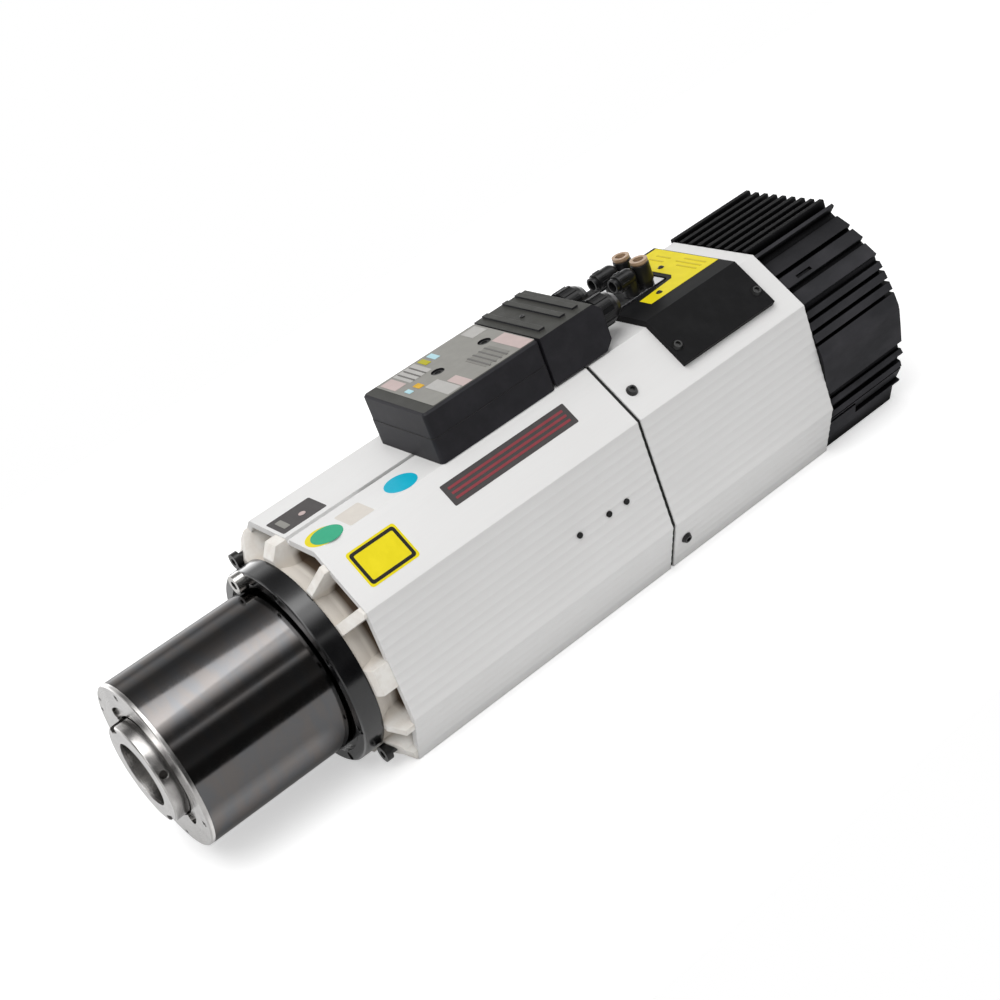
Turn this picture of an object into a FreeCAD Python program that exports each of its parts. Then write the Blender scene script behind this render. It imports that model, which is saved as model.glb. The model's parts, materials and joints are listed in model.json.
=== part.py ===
import FreeCAD, Part
import math
import os

# CNC spindle motor with an automatic tool changer, air cooled, lying on its mounting face.
# Frame: origin on the spindle axis at the shaft's end face, +Y towards the fan, +Z up to the connector.
# All sizes are millimetres.

V = FreeCAD.Vector

# Clearances
running_gap = 0.05
seat_gap = 0.3
screw_gap = 0.25

# How far a cutting tool runs past its surface, and how far joined pieces reach into each other
overcut = 1.0
join_depth = 1.0

# Screws, as shares of the head's radius or height
socket_ratio = 0.5
socket_depth_ratio = 0.65
button_top_ratio = 0.72
button_shank_ratio = 0.55
screw_hole_ratio = 0.6

# Lengths along the spindle axis
shaft_overhang = 9.0
nose_cover_visible = 3.0
nose_length = 114.0
flange_thickness = 16.0
vent_length = 14.5
front_cover_length = 237.5
seam_width = 3.0
rear_cover_length = 164.0
cap_length = 84.0

# Body section, an octagon seen along the axis
body_width = 168.0
top_height = 88.5
top_width = 88.0
side_top_height = 52.7
side_low_height = -35.4
base_height = -77.0
base_width = 127.2
cover_wall = 5.0
gasket_inset = 1.5

# Flutes pressed into the flanks of both covers
flute_count = 12
flute_depth = 0.35
low_flute_count = 6
flute_margin = 1.5

# Groove along the top of the front cover, open to the inside near the connector
groove_left = 6.2
groove_width = 4.6
groove_depth = 3.0
groove_slot_length = 46.0

# Mounting rails in the front cover and their tapped holes
rail_centre = 50.0
rail_width = 16.0
rail_height = 19.0
mount_hole_radius = 5.0
mount_hole_depth = 15.0
mount_hole_spacing = 160.0
mount_hole_first = 40.0

# Nose
nose_radius = 62.5
nose_spigot_radius = 58.0
nose_edge_chamfer = 0.8
bearing_lip = 5.0
spigot_relief = 2.0
recess_overlap = 0.5
nose_cover_bore_gap = 1.0
recess_radius = 46.0
recess_depth = 2.0
recess_start = -53.0
recess_end = 125.0
face_hole_radius = 1.6
face_hole_depth = 2.2
face_hole_ring_radius = 59.0
face_hole_angles = (139.0, 152.5, -94.0)
nose_screw_ring_radius = 56.0
nose_screw_angles = (92.0, -28.0, -165.0)
nose_screw_head_radius = 2.4
nose_screw_sink = 0.4
nose_screw_socket_depth = 1.6

# Front flange
flange_radius = 76.0
flange_step_radius = 67.5
flange_step_depth = 3.5
flange_chamfer = 1.0
flange_screw_count = 8
flange_screw_ring_radius = 71.8
flange_screw_head_radius = 3.0
flange_screw_head_height = 5.0
flange_screw_shank_radius = 1.8
flange_screw_sink = 1.0

# Purge air fitting on the flange
purge_angle = 103.0
purge_ring_radius = 70.3
purge_radius = 7.0
purge_bore_radius = 3.2
purge_length = 7.5

# Front casting between flange and cover
casting_front_radius = 74.0
casting_rear_radius = 68.0
casting_inner_length = 14.0
casting_spigot_length = 17.0
rib_front_radius = 79.0
rib_rear_radius = 101.0
rib_inset = 0.8
rib_root = 8.0
casting_lip = 1.5
casting_lip_length = 2.0
casting_rear_step = 0.8
casting_rear_margin = 3.0
rib_pairs = ((56.0, 6.0), (33.0, 8.0), (2.5, 20.0), (-28.0, 6.0), (-74.0, 9.0))
top_rib_width = 14.0
casting_bolt_places = ((56.0, -61.2), (-56.0, -61.2), (-52.0, 64.5))
casting_web_width = 9.0
casting_boss_radius = 8.5
casting_bolt_head_radius = 6.0
casting_bolt_head_height = 5.0
casting_bolt_shank_radius = 3.5
casting_bolt_length = 12.0

# Bearings: bore radius, outside radius, width
front_bore_radius = 35.0
front_outer_radius = 55.0
front_bearing_width = 20.0
front_spacer_length = 6.0
rear_bore_radius = 25.0
rear_outer_radius = 40.0
rear_bearing_width = 16.0
rear_bearing_setback = 2.0
ring_wall_ratio = 0.31
cage_shoulder = 3.0
cage_flat = 1.5
cage_slope = 5.0
race_side_gap = 2.0

# Spindle shaft
shaft_end_radius = 37.0
shoulder_depth = 8.0
shaft_mid_radius = 30.0
shaft_step_lead = 10.0
shaft_tail = 4.0
socket_mouth_radius = 24.0
socket_taper_length = 32.0
socket_taper_drop = 1.6
chamber_radius = 21.5
chamber_length = 21.6
drawbar_bore_radius = 8.6
spring_bore_radius = 17.4
notch_width = 12.0
notch_depth = 5.0
notch_length = 7.0
notch_angle = 112.0
shaft_hole_angle = 19.0
shaft_hole_radius = 3.0
shaft_hole_place = 4.6
shaft_chamfer = 1.0
locknut_wall = 8.0
front_locknut_length = 12.0
locknut_room = 6.0
rear_locknut_length = 4.0

# Rotor and stator
rotor_radius = 35.4
stator_bore_radius = 36.0
stator_radius = 61.0
stator_room = 36.5
stator_length = 150.0
winding_inner_radius = 39.0
winding_outer_radius = 57.0
winding_length = 18.0
winding_corner = 4.0
end_ring_length = 6.0
end_ring_step = 1.5
end_ring_gap = 2.0
sleeve_wall = 4.0
sleeve_fin_radius = 70.5
sleeve_fin_count = 24
sleeve_fin_width = 2.4
sleeve_spigot_wall = 4.0

# Rear shield
shield_cover = 15.0
shield_length = 34.0
shield_lip = 8.0
shield_spigot_length = 12.0
shield_vent_count = 8
shield_vent_inner = 47.0
shield_vent_outer = 57.0
shield_vent_span = 28.0

# Drawbar and gripper, clamped position
drawbar_radius = 8.0
drawbar_head_radius = 12.5
drawbar_head_start = 10.6
drawbar_head_length = 6.0
drawbar_head_chamfer = 1.0
drawbar_cone_length = 8.0
drawbar_neck_radius = 6.5
drawbar_neck_margin = 6.4
drawbar_overhang = 14.0
drawbar_tail_length = 36.0
drawbar_nut_radius = 15.0
drawbar_nut_length = 12.0
release_stroke = 10.0
segment_count = 6
first_segment_angle = 30.0
segment_span = 50.0
segment_tip_place = 13.6
segment_tip_length = 6.0
segment_tip_chamfer = 1.5
segment_hook_slope = 2.0
segment_hook_radius = 17.5
segment_body_radius = 15.5
segment_inner_radius = 9.0
segment_cone_gap = 0.7
segment_foot_radius = 19.0
segment_foot_length = 6.6
segment_foot_rear_gap = 1.0
gripper_sleeve_length = 11.0
gripper_sleeve_bore = 16.6

# Disc springs
spring_length = 142.0
spring_groups = 12
spring_inner_radius = 8.3
spring_room = 0.4
spring_ridge = 2.2

# Unclamping cylinder
cylinder_radius = 66.0
cylinder_wall = 8.0
cylinder_skirt_length = 14.0
cylinder_plate = 12.0
piston_reserve = 7.0
cylinder_cap_thickness = 12.0
piston_thickness = 20.0
piston_rod_radius = 12.0
piston_tail_radius = 8.0
piston_seal_width = 5.0
piston_seal_depth = 3.0
piston_push_gap = 0.5
target_radius = 14.0
target_length = 8.0
return_spring_radius = 34.0
return_spring_wall = 4.0

# Sensors under the access plate
bracket_thickness = 4.0
bracket_width = 40.0
bracket_low = 26.0
bracket_high = 46.0
bracket_depth = 38.0
sensor_radius = 4.0
sensor_length = 40.0
sensor_pitch = 9.0
sensor_count = 3
sensor_air_gap = 1.5
target_stand = 26.0

# Air manifold and its push-in fittings
manifold_left = -31.0
manifold_right = 6.0
manifold_setback = 56.5
manifold_length = 53.5
manifold_low = 54.0
manifold_stand = 4.5
fitting_columns = (-20.5, 0.0)
elbow_row_setback = 26.5
straight_row_setback = 40.7
stem_radius = 4.6
stem_wall = 1.6
stem_depth = 8.0
fitting_radius = 6.7
fitting_neck_drop = 0.6
hex_height = 5.0
elbow_rise = 14.2
elbow_arm_lengths = (14.0, 11.0)
straight_rise = 18.3
straight_radius = 7.0
straight_collet_radius = 6.7
grip_rib_count = 10
grip_rib_height = 0.5
grip_rib_width = 1.6
grip_rib_margin = 1.5
grip_rib_length = 6.0
collet_radius = 5.2
collet_flange = 2.2
collet_depth = 9.0
collet_travel = 1.0
tube_radius = 4.05
tube_stop_step = 1.0

# Access plate
plate_thickness = 5.0
plate_setback = 55.0
plate_rear_margin = 19.0
plate_drop = 40.0
notch_left = -36.0
notch_right = 10.0
notch_length = 56.0
notch_corner = 4.0
window_margin = 6.0
plate_screw_drop = 25.9
plate_screw_inset = 5.2
plate_screw_radius = 4.2
plate_screw_height = 2.2
label_screw_places = ((-10.4, 23.5), (21.0, 53.7))
label_screw_radius = 2.2

# Screws through the covers into the rear shield, as the distance down each facet
cover_screw_setback = 11.2
upper_screw_drop = 32.6
lower_screw_drop = 22.4
cover_screw_radius = 4.4
cover_screw_height = 2.6
side_plug_setbacks = (164.2, 191.6, 208.0)
side_plug_height = 6.1
side_plug_radius = 2.2
side_plug_stand = 1.0

# Connector on top of the front cover
connector_left = -32.5
connector_right = 45.0
connector_setback = 107.5
connector_length = 101.5
connector_rise = 38.9
connector_split_rise = 19.5
connector_step = 0.3
connector_draft = 1.6
connector_corner = 3.0
hood_length = 55.0
hood_lift = 1.8
hood_joint = 1.0
hood_round = 13.0
hood_rib_width = 5.0
hood_rib_height = 1.4
hood_rib_places = (7.0, 26.0, 38.0)
hood_side_margin = 1.0
hood_rib_margin = 9.0
hood_neck_inset = 4.0
hood_neck_drop = 3.0
hood_bore_reach = 12.0
gland_columns = (-9.0, 26.0)
gland_rise = 21.5
gland_body_radius = 10.0
gland_body_length = 8.0
gland_nut_radius = 12.0
gland_nut_length = 20.0
gland_nut_overlap = 5.0
gland_dome_length = 8.0
gland_dome_step = 1.5
gland_lip = 3.0
gland_bore_radius = 5.0
gland_rib_count = 12
gland_rib_height = 0.7
gland_rib_width = 2.4
connector_screw_radius = 5.0
connector_screw_height = 1.6
connector_head_height = 0.8
connector_screw_column = 2.0
connector_screw_setbacks = (43.5, 85.5)
hood_screw_offset = 18.5
hood_screw_radius = 1.8

# Finned rear cap. Each ridge is a distance down its facet where it starts and ends,
# and how far its back stands from the facet at the start and at the end.
cap_inset = 8.0
cap_bore_radius = 64.5
cap_fin_width = 4.0
cap_fin_rise = 1.2
top_fin_count = 9
top_fin_first = -45.0
top_fin_pitch = 10.0
cap_tall_fin = (1.2, 3.8, 0.2, 0.0)
slope_ridges = ((9.5, 22.2, -5.8, -3.0), (25.2, 35.8, -4.4, -2.9), (39.5, 51.5, -6.2, -6.0))
side_ridges = (
    (9.0, 13.8, -4.4, -2.6), (16.8, 22.6, -2.0, -0.3), (25.6, 31.6, 0.3, 1.9), (34.4, 44.5, 2.3, 3.9),
    (44.5, 49.0, 3.9, 3.6), (49.0, 62.0, 3.6, 0.9), (62.0, 77.5, 0.9, -2.7), (84.0, 88.0, -5.6, -4.2),
)
low_ridges = ((11.0, 15.4, -4.8, -2.9), (17.4, 29.5, -3.3, -5.8), (29.5, 46.3, -2.5, -2.5))
low_boss = (20.5, 34.0, -2.8, -1.4)
low_boss_length = 32.0
low_trim_place = 30.0
low_trim_length = 8.0
cap_rear_wall = 3.0
cap_ridge_root = 1.0
cap_fin_root = 6.0
cap_tall_rise = 1.8
cap_slot = (30.4, 33.2, -5.2, -5.2)
cap_slot_setback = 16.0
cap_slot_length = 15.0

# Rear fan
fan_start = 15.0
fan_frame_length = 46.0
fan_frame_wall = 3.0
fan_strut_count = 3
fan_strut_width = 6.0
fan_strut_depth = 6.0
fan_motor_radius = 22.0
fan_motor_length = 14.0
fan_pin_radius = 4.0
fan_pin_length = 16.0
fan_boss_wall = 3.0
impeller_hub_radius = 23.0
impeller_length = 20.0
impeller_wall = 2.5
impeller_gap = 1.0
blade_count = 7
blade_tip_radius = 58.0
blade_thickness = 2.2
blade_root_angle = 48.0
blade_tip_angle = 28.0
blade_chord = 24.0
blade_root_share = 0.6
blade_peak_share = 0.2
blade_edge = 0.2
guard_thickness = 2.0
guard_ring_width = 2.2
guard_ring_radii = (20.0, 30.0, 40.0, 50.0)
guard_bar_count = 4
guard_bar_angle = 45.0
guard_screw_ring_radius = 60.0
guard_rim_width = 8.5
guard_screw_radius = 2.6
guard_screw_height = 1.6

# Places worked out from the lengths above
nose_face = shaft_overhang
nose_housing_start = nose_face + nose_cover_visible
flange_start = nose_face + nose_length
flange_end = flange_start + flange_thickness
cover_start = flange_end + vent_length
seam_start = cover_start + front_cover_length
seam_end = seam_start + seam_width
cap_start = seam_end + rear_cover_length
cap_end = cap_start + cap_length
bearing_start = nose_face + shoulder_depth
bearing_end = bearing_start + 2 * front_bearing_width + front_spacer_length
shield_start = seam_start - shield_cover
rear_bearing_start = shield_start + rear_bearing_setback
rear_bearing_end = rear_bearing_start + 2 * rear_bearing_width
stator_start = cover_start + stator_room
stator_end = stator_start + stator_length
shaft_step_place = stator_start - shaft_step_lead
shield_end = shield_start + shield_length
shaft_end_place = shield_end + shaft_tail
drawbar_end_place = shaft_end_place + drawbar_overhang
plate_front = shield_end + cylinder_skirt_length
chamber_start = plate_front + cylinder_plate
chamber_end = chamber_start + piston_thickness + release_stroke + piston_reserve
cylinder_end = chamber_end + cylinder_cap_thickness
chamber_back = socket_taper_length + chamber_length
drawbar_neck_end = chamber_back + drawbar_neck_margin
drawbar_nut_start = drawbar_end_place - drawbar_tail_length
spring_start = drawbar_nut_start - spring_length
cover_screw_place = seam_end + cover_screw_setback
plate_start = seam_end + plate_setback
plate_end = cap_start - plate_rear_margin
notch_end = plate_start + notch_length
manifold_start = seam_end + manifold_setback
manifold_height = top_height + manifold_stand
elbow_row = manifold_start + elbow_row_setback
straight_row = manifold_start + straight_row_setback
elbow_axis_height = manifold_height + elbow_rise
straight_top = manifold_height + straight_rise
connector_start = cover_start + connector_setback
connector_end = connector_start + connector_length
connector_top = top_height + connector_rise
connector_split = top_height + connector_split_rise
hood_start = connector_end + hood_joint
gland_start = hood_start + hood_length
gland_height = top_height + gland_rise


def ring(outer, inner, start, end):
    solid = Part.makeCylinder(outer, end - start, V(0, start, 0), V(0, 1, 0))
    if inner > 0:
        hole = Part.makeCylinder(inner, end - start, V(0, start, 0), V(0, 1, 0))
        solid = solid.cut(hole)
    return solid


def rod(radius, start, end, x=0.0, z=0.0):
    return Part.makeCylinder(radius, end - start, V(x, start, z), V(0, 1, 0))


def block(left, right, start, end, low, high):
    return Part.makeBox(right - left, end - start, high - low, V(left, start, low))


def turned(points, angle=360.0):
    corners = [V(radius, place, 0) for radius, place in points]
    wire = Part.makePolygon(corners + corners[:1])
    return Part.Face(wire).revolve(V(0, 0, 0), V(0, 1, 0), angle)


def swept(points, angle):
    """Sector of a turned body, from the +X direction round towards +Z."""
    return turned(points, -angle)


def prism(points, start, end):
    corners = [V(x, start, z) for x, z in points]
    wire = Part.makePolygon(corners + corners[:1])
    return Part.Face(wire).extrude(V(0, end - start, 0))


def spun(solid, degrees):
    turned_solid = solid.copy()
    turned_solid.rotate(V(0, 0, 0), V(0, 1, 0), -degrees)
    return turned_solid


def joined(solids):
    first, rest = solids[0], solids[1:]
    if not rest:
        return first
    return first.multiFuse(rest).removeSplitter()


def group(solids):
    return Part.makeCompound(solids)


def right_half():
    """Right half of the body section, from the top's middle round to the base's middle."""
    return [
        (top_width / 2, top_height),
        (body_width / 2, side_top_height),
        (body_width / 2, side_low_height),
        (base_width / 2, base_height),
    ]


def octagon(inset=0.0):
    """Corners of the body section, clockwise from the top right, pulled in by an even inset."""
    right = right_half()
    corners = right + [(-x, z) for x, z in reversed(right)]
    if inset == 0:
        return corners
    lines = []
    for index, (x, z) in enumerate(corners):
        next_x, next_z = corners[(index + 1) % len(corners)]
        run = V(next_x - x, 0, next_z - z).normalize()
        outward = V(-run.z, 0, run.x)
        lines.append((V(x, 0, z) - outward * inset, run))
    return [crossing(lines[index - 1], lines[index]) for index in range(len(lines))]


def crossing(first, second):
    """Where two lines of the section meet, as x and z."""
    (p, d), (q, e) = first, second
    spread = d.x * e.z - d.z * e.x
    reach = ((q.x - p.x) * e.z - (q.z - p.z) * e.x) / spread
    return (p.x + d.x * reach, p.z + d.z * reach)


def facet(index):
    """Start corner, direction down the facet, outward direction and length of one right-hand facet."""
    corners = right_half()
    start, end = corners[index], corners[index + 1]
    run = V(end[0] - start[0], 0, end[1] - start[1])
    length = run.Length
    run.normalize()
    outward = V(-run.z, 0, run.x)
    return V(start[0], 0, start[1]), run, outward, length


def mirrored(solid):
    return solid.mirror(V(0, 0, 0), V(1, 0, 0))


def hex_socket(across, depth, base, direction):
    """Six-sided tool for a socket, sunk from base against the direction."""
    corners = []
    side = V(1, 0, 0)
    if abs(direction.x) > 0.9:
        side = V(0, 1, 0)
    first = direction.cross(side).normalize()
    second = direction.cross(first).normalize()
    for step in range(6):
        angle = math.radians(60 * step)
        corners.append(base + first * across * math.cos(angle) + second * across * math.sin(angle))
    face = Part.Face(Part.makePolygon(corners + corners[:1]))
    return face.extrude(direction * -depth)


def socket_screw(place, direction, head_radius, head_height, shank_radius, shank_length):
    """Cap screw whose head stands on place, pointing along direction, its shank going the other way."""
    head = Part.makeCylinder(head_radius, head_height, place, direction)
    shank = Part.makeCylinder(shank_radius, shank_length, place, direction * -1)
    top = place + direction * head_height
    socket = hex_socket(head_radius * socket_ratio, head_height * socket_depth_ratio, top, direction)
    return head.fuse(shank).cut(socket)


def fluted_section():
    """Wire of the body section whose flanks and lower slopes carry shallow hollow flutes."""
    corners = octagon()
    flutes = {1: flute_count, 2: low_flute_count, 4: low_flute_count, 5: flute_count}
    edges = []
    for index in range(len(corners)):
        start = V(corners[index][0], 0, corners[index][1])
        stop_corner = corners[(index + 1) % len(corners)]
        stop = V(stop_corner[0], 0, stop_corner[1])
        count = flutes.get(index, 0)
        if count == 0:
            edges.append(Part.makeLine(start, stop))
            continue
        run = (stop - start).normalize()
        inward = V(-start.x - stop.x, 0, 0).normalize()
        inward = (inward - run * inward.dot(run)).normalize()
        first, last = start + run * flute_margin, stop - run * flute_margin
        edges.append(Part.makeLine(start, first))
        pitch = (last - first).Length / count
        for step in range(count):
            left = first + run * (pitch * step)
            right = first + run * (pitch * (step + 1))
            middle = (left + right) * 0.5 + inward * flute_depth
            edges.append(Part.Arc(left, middle, right).toShape())
        edges.append(Part.makeLine(last, stop))
    return Part.Wire(edges)


def cover_shell(start, end):
    """Extruded cover: fluted outside, plain even wall inside."""
    outline = fluted_section()
    outline.translate(V(0, start, 0))
    solid = Part.Face(outline).extrude(V(0, end - start, 0))
    return solid.cut(prism(octagon(cover_wall), start, end))


def mount_places():
    first = cover_start + mount_hole_first
    return [(x, y) for x in (-rail_centre, rail_centre) for y in (first, first + mount_hole_spacing)]


def side_plug_rows():
    return [cover_start + setback for setback in side_plug_setbacks]


def front_cover():
    shell = cover_shell(cover_start, seam_start)
    rail_start = cover_start + casting_inner_length
    rail_end = shield_start
    rails = []
    for side in (-1, 1):
        middle = side * rail_centre
        rails.append(block(middle - rail_width / 2, middle + rail_width / 2, rail_start, rail_end,
                           base_height + cover_wall / 2, base_height + rail_height))
    shell = joined([shell] + rails)
    groove_right = groove_left + groove_width
    groove_end = connector_start + groove_width
    cuts = [block(groove_left, groove_right, cover_start, groove_end, top_height - groove_depth,
                  top_height + overcut),
            block(groove_left, groove_right, connector_start - groove_slot_length, groove_end,
                  top_height - cover_wall - overcut, top_height)]
    for x, y in mount_places():
        cuts.append(Part.makeCylinder(mount_hole_radius, mount_hole_depth, V(x, y, base_height)))
    for place in side_plug_rows():
        mouth = V(body_width / 2, place, side_plug_height)
        cuts.append(Part.makeCylinder(side_plug_radius, cover_wall, mouth, V(-1, 0, 0)))
    return shell.cut(group(cuts))


def plate_window():
    left = -top_width / 2 + window_margin
    right = top_width / 2 - window_margin
    return block(left, right, plate_start + window_margin, plate_end - window_margin,
                 top_height - cover_wall - overcut, top_height + overcut)


def notch_window():
    return block(notch_left, notch_right, plate_start - window_margin, notch_end,
                 top_height - cover_wall - overcut, top_height + overcut)


def cover_screw_sites():
    """Place on each sloping facet and its outward direction, for the screws near the seam."""
    sites = []
    for index, drop in ((0, upper_screw_drop), (2, lower_screw_drop)):
        corner, run, outward, _ = facet(index)
        place = corner + run * drop + V(0, cover_screw_place, 0)
        for side in (1, -1):
            sites.append((V(side * place.x, place.y, place.z), V(side * outward.x, 0, outward.z)))
    return sites


def plate_screw_sites():
    corner, run, outward, _ = facet(0)
    places = (plate_start + plate_screw_inset, plate_end - plate_screw_inset)
    height = outward * plate_thickness
    return [(corner + run * plate_screw_drop + height + V(0, place, 0), outward) for place in places]


def label_screw_sites():
    level = top_height + plate_thickness
    return [(V(x, plate_end - setback, level), V(0, 0, 1)) for x, setback in label_screw_places]


def rear_cover():
    shell = cover_shell(seam_end, cap_start)
    cuts = [plate_window(), notch_window()]
    for place, outward in cover_screw_sites():
        cuts.append(Part.makeCylinder(cover_screw_radius * screw_hole_ratio, 2 * cover_wall, place + outward,
                                      outward * -1))
    for place, outward in plate_screw_sites():
        cuts.append(Part.makeCylinder(plate_screw_radius * screw_hole_ratio, 2 * cover_wall, place,
                                      outward * -1))
    return shell.cut(group(cuts))


def seam_gasket():
    outside = prism(octagon(gasket_inset), seam_start, seam_end)
    return outside.cut(prism(octagon(cover_wall), seam_start, seam_end))


def button_screw(place, outward, radius, height, depth):
    head = Part.makeCone(radius, radius * button_top_ratio, height, place, outward)
    shank = Part.makeCylinder(radius * button_shank_ratio, depth, place, outward * -1)
    socket = hex_socket(radius * socket_ratio, height * socket_depth_ratio, place + outward * height, outward)
    return head.fuse(shank).cut(socket)


def cover_screws():
    return group([button_screw(place, outward, cover_screw_radius, cover_screw_height, cover_wall)
                  for place, outward in cover_screw_sites()])


def side_plugs():
    solids = []
    for place in side_plug_rows():
        base = V(body_width / 2 - cover_wall, place, side_plug_height)
        solids.append(Part.makeCylinder(side_plug_radius, cover_wall + side_plug_stand, base, V(1, 0, 0)))
    return group(solids)


def nose_housing():
    shoulder = rear_outer_radius
    locknut_end = bearing_end + front_locknut_length + locknut_room
    return turned([
        (front_outer_radius, nose_housing_start),
        (nose_radius, nose_housing_start),
        (nose_radius, flange_start + flange_step_depth),
        (nose_spigot_radius, flange_start + flange_step_depth),
        (nose_spigot_radius, flange_end + casting_inner_length),
        (shoulder, flange_end + casting_inner_length),
        (shoulder, locknut_end),
        (front_outer_radius - bearing_lip, locknut_end),
        (front_outer_radius - bearing_lip, bearing_end),
        (front_outer_radius, bearing_end),
    ])


def recess_slot():
    """Stepped hollow round part of the shaft, with round ends, sunk into the nose cover's face."""
    inner = shaft_end_radius
    middle = (inner + recess_radius) / 2
    half = (recess_radius - inner) / 2
    sweep = recess_end - recess_start
    low = inner - recess_overlap
    profile = [(low, nose_face - overcut), (recess_radius, nose_face - overcut),
               (recess_radius, nose_face + recess_depth), (low, nose_face + recess_depth)]
    slot = spun(swept(profile, sweep), recess_start)
    ends = []
    for angle in (recess_start, recess_end):
        x = middle * math.cos(math.radians(angle))
        z = middle * math.sin(math.radians(angle))
        ends.append(rod(half, nose_face - overcut, nose_face + recess_depth, x, z))
    return joined([slot] + ends)


def polar(radius, angle):
    return radius * math.cos(math.radians(angle)), radius * math.sin(math.radians(angle))


def nose_cover():
    inner = shaft_end_radius + nose_cover_bore_gap
    plate = turned([
        (inner, nose_face),
        (nose_radius - nose_edge_chamfer, nose_face),
        (nose_radius, nose_face + nose_edge_chamfer),
        (nose_radius, nose_housing_start),
        (front_outer_radius, nose_housing_start),
        (front_outer_radius, bearing_start),
        (front_outer_radius - bearing_lip, bearing_start),
        (front_outer_radius - bearing_lip, bearing_start - spigot_relief),
        (inner, bearing_start - spigot_relief),
    ])
    cuts = [recess_slot()]
    for angle in face_hole_angles:
        x, z = polar(face_hole_ring_radius, angle)
        cuts.append(rod(face_hole_radius, nose_face - overcut, nose_face + face_hole_depth, x, z))
    for angle in nose_screw_angles:
        x, z = polar(nose_screw_ring_radius, angle)
        cuts.append(rod(nose_screw_head_radius, nose_face - overcut, nose_housing_start, x, z))
    return plate.cut(group(cuts))


def nose_cover_screws():
    solids = []
    for angle in nose_screw_angles:
        x, z = polar(nose_screw_ring_radius, angle)
        top = V(x, nose_face + nose_screw_sink, z)
        screw = rod(nose_screw_head_radius, top.y, nose_housing_start, x, z)
        socket = hex_socket(nose_screw_head_radius * socket_ratio, nose_screw_socket_depth, top, V(0, -1, 0))
        solids.append(screw.cut(socket))
    return group(solids)


def flange_screw_angles():
    step = 360.0 / flange_screw_count
    return [step / 2 + step * index for index in range(flange_screw_count)]


def purge_place():
    return polar(purge_ring_radius, purge_angle)


def front_flange():
    body = turned([
        (nose_spigot_radius, flange_start + flange_step_depth),
        (flange_step_radius, flange_start + flange_step_depth),
        (flange_step_radius, flange_start),
        (flange_radius - flange_chamfer, flange_start),
        (flange_radius, flange_start + flange_chamfer),
        (flange_radius, flange_end),
        (nose_spigot_radius, flange_end),
    ])
    cuts = []
    for angle in flange_screw_angles():
        x, z = polar(flange_screw_ring_radius, angle)
        cuts.append(rod(flange_screw_head_radius + screw_gap, flange_start - overcut,
                        flange_start + flange_screw_head_height + flange_screw_sink, x, z))
        cuts.append(rod(flange_screw_shank_radius, flange_start, flange_end, x, z))
    x, z = purge_place()
    cuts.append(rod(purge_bore_radius, flange_start - overcut, flange_end, x, z))
    return body.cut(group(cuts))


def flange_screws():
    solids = []
    for angle in flange_screw_angles():
        x, z = polar(flange_screw_ring_radius, angle)
        place = V(x, flange_start + flange_screw_head_height + flange_screw_sink, z)
        shank = flange_end - place.y
        solids.append(socket_screw(place, V(0, -1, 0), flange_screw_head_radius, flange_screw_head_height,
                                   flange_screw_shank_radius, shank))
    return group(solids)


def purge_fitting():
    x, z = purge_place()
    start = flange_start - purge_length
    return rod(purge_radius, start, flange_start, x, z).cut(rod(purge_bore_radius, start, flange_start, x, z))


def rib_wall(angle, width, start, end):
    wall = Part.makeBox(body_width, end - start, width, V(casting_rear_radius - rib_root, start, -width / 2))
    return spun(wall, angle)


def rib_angles():
    ribs = [(90.0, top_rib_width), (-90.0, top_rib_width)]
    for angle, width in rib_pairs:
        ribs += [(angle, width), (180.0 - angle, width)]
    return ribs


def front_casting():
    inner_end = cover_start + casting_inner_length
    spigot_end = cover_start + casting_spigot_length
    hub = turned([
        (nose_spigot_radius, flange_end),
        (casting_front_radius, flange_end),
        (casting_front_radius - casting_lip, flange_end + casting_lip_length),
        (casting_rear_radius + casting_rear_step, cover_start - casting_rear_margin),
        (casting_rear_radius, cover_start + casting_lip_length),
        (casting_rear_radius, inner_end),
        (stator_radius, inner_end),
        (stator_radius, spigot_end),
        (stator_radius - sleeve_spigot_wall, spigot_end),
        (stator_radius - sleeve_spigot_wall, inner_end),
        (nose_spigot_radius, inner_end),
    ])
    walls = []
    for angle, width in rib_angles():
        walls.append(rib_wall(angle, width, flange_end, inner_end))
    for x, z in casting_bolt_places:
        angle = math.degrees(math.atan2(z, x))
        walls.append(rib_wall(angle, casting_web_width, flange_end, inner_end))
        walls.append(rod(casting_boss_radius, flange_end, inner_end, x, z))
    cone = turned([(0, flange_end), (rib_front_radius, flange_end), (rib_rear_radius, cover_start),
                   (rib_rear_radius, inner_end), (0, inner_end)])
    outside = prism(octagon(rib_inset), flange_end, cover_start)
    inside = prism(octagon(cover_wall), cover_start, inner_end)
    ribs = joined(walls).common(cone).common(outside.fuse(inside))
    casting = joined([hub, ribs])
    cuts = [rod(nose_spigot_radius, flange_end, inner_end)]
    for x, z in casting_bolt_places:
        cuts.append(rod(casting_bolt_shank_radius, flange_end - overcut, flange_end + casting_bolt_length,
                        x, z))
    return casting.cut(group(cuts))


def casting_bolts():
    solids = []
    for x, z in casting_bolt_places:
        place = V(x, flange_end, z)
        solids.append(socket_screw(place, V(0, -1, 0), casting_bolt_head_radius, casting_bolt_head_height,
                                   casting_bolt_shank_radius, casting_bolt_length))
    return group(solids)


def bearing_rows():
    """Start, bore radius, outside radius and width of each bearing."""
    second = bearing_start + front_bearing_width + front_spacer_length
    return [
        (bearing_start, front_bore_radius, front_outer_radius, front_bearing_width),
        (second, front_bore_radius, front_outer_radius, front_bearing_width),
        (rear_bearing_start, rear_bore_radius, rear_outer_radius, rear_bearing_width),
        (rear_bearing_start + rear_bearing_width, rear_bore_radius, rear_outer_radius, rear_bearing_width),
    ]


def bearing_wall(bore, outer):
    return (outer - bore) * ring_wall_ratio


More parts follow.
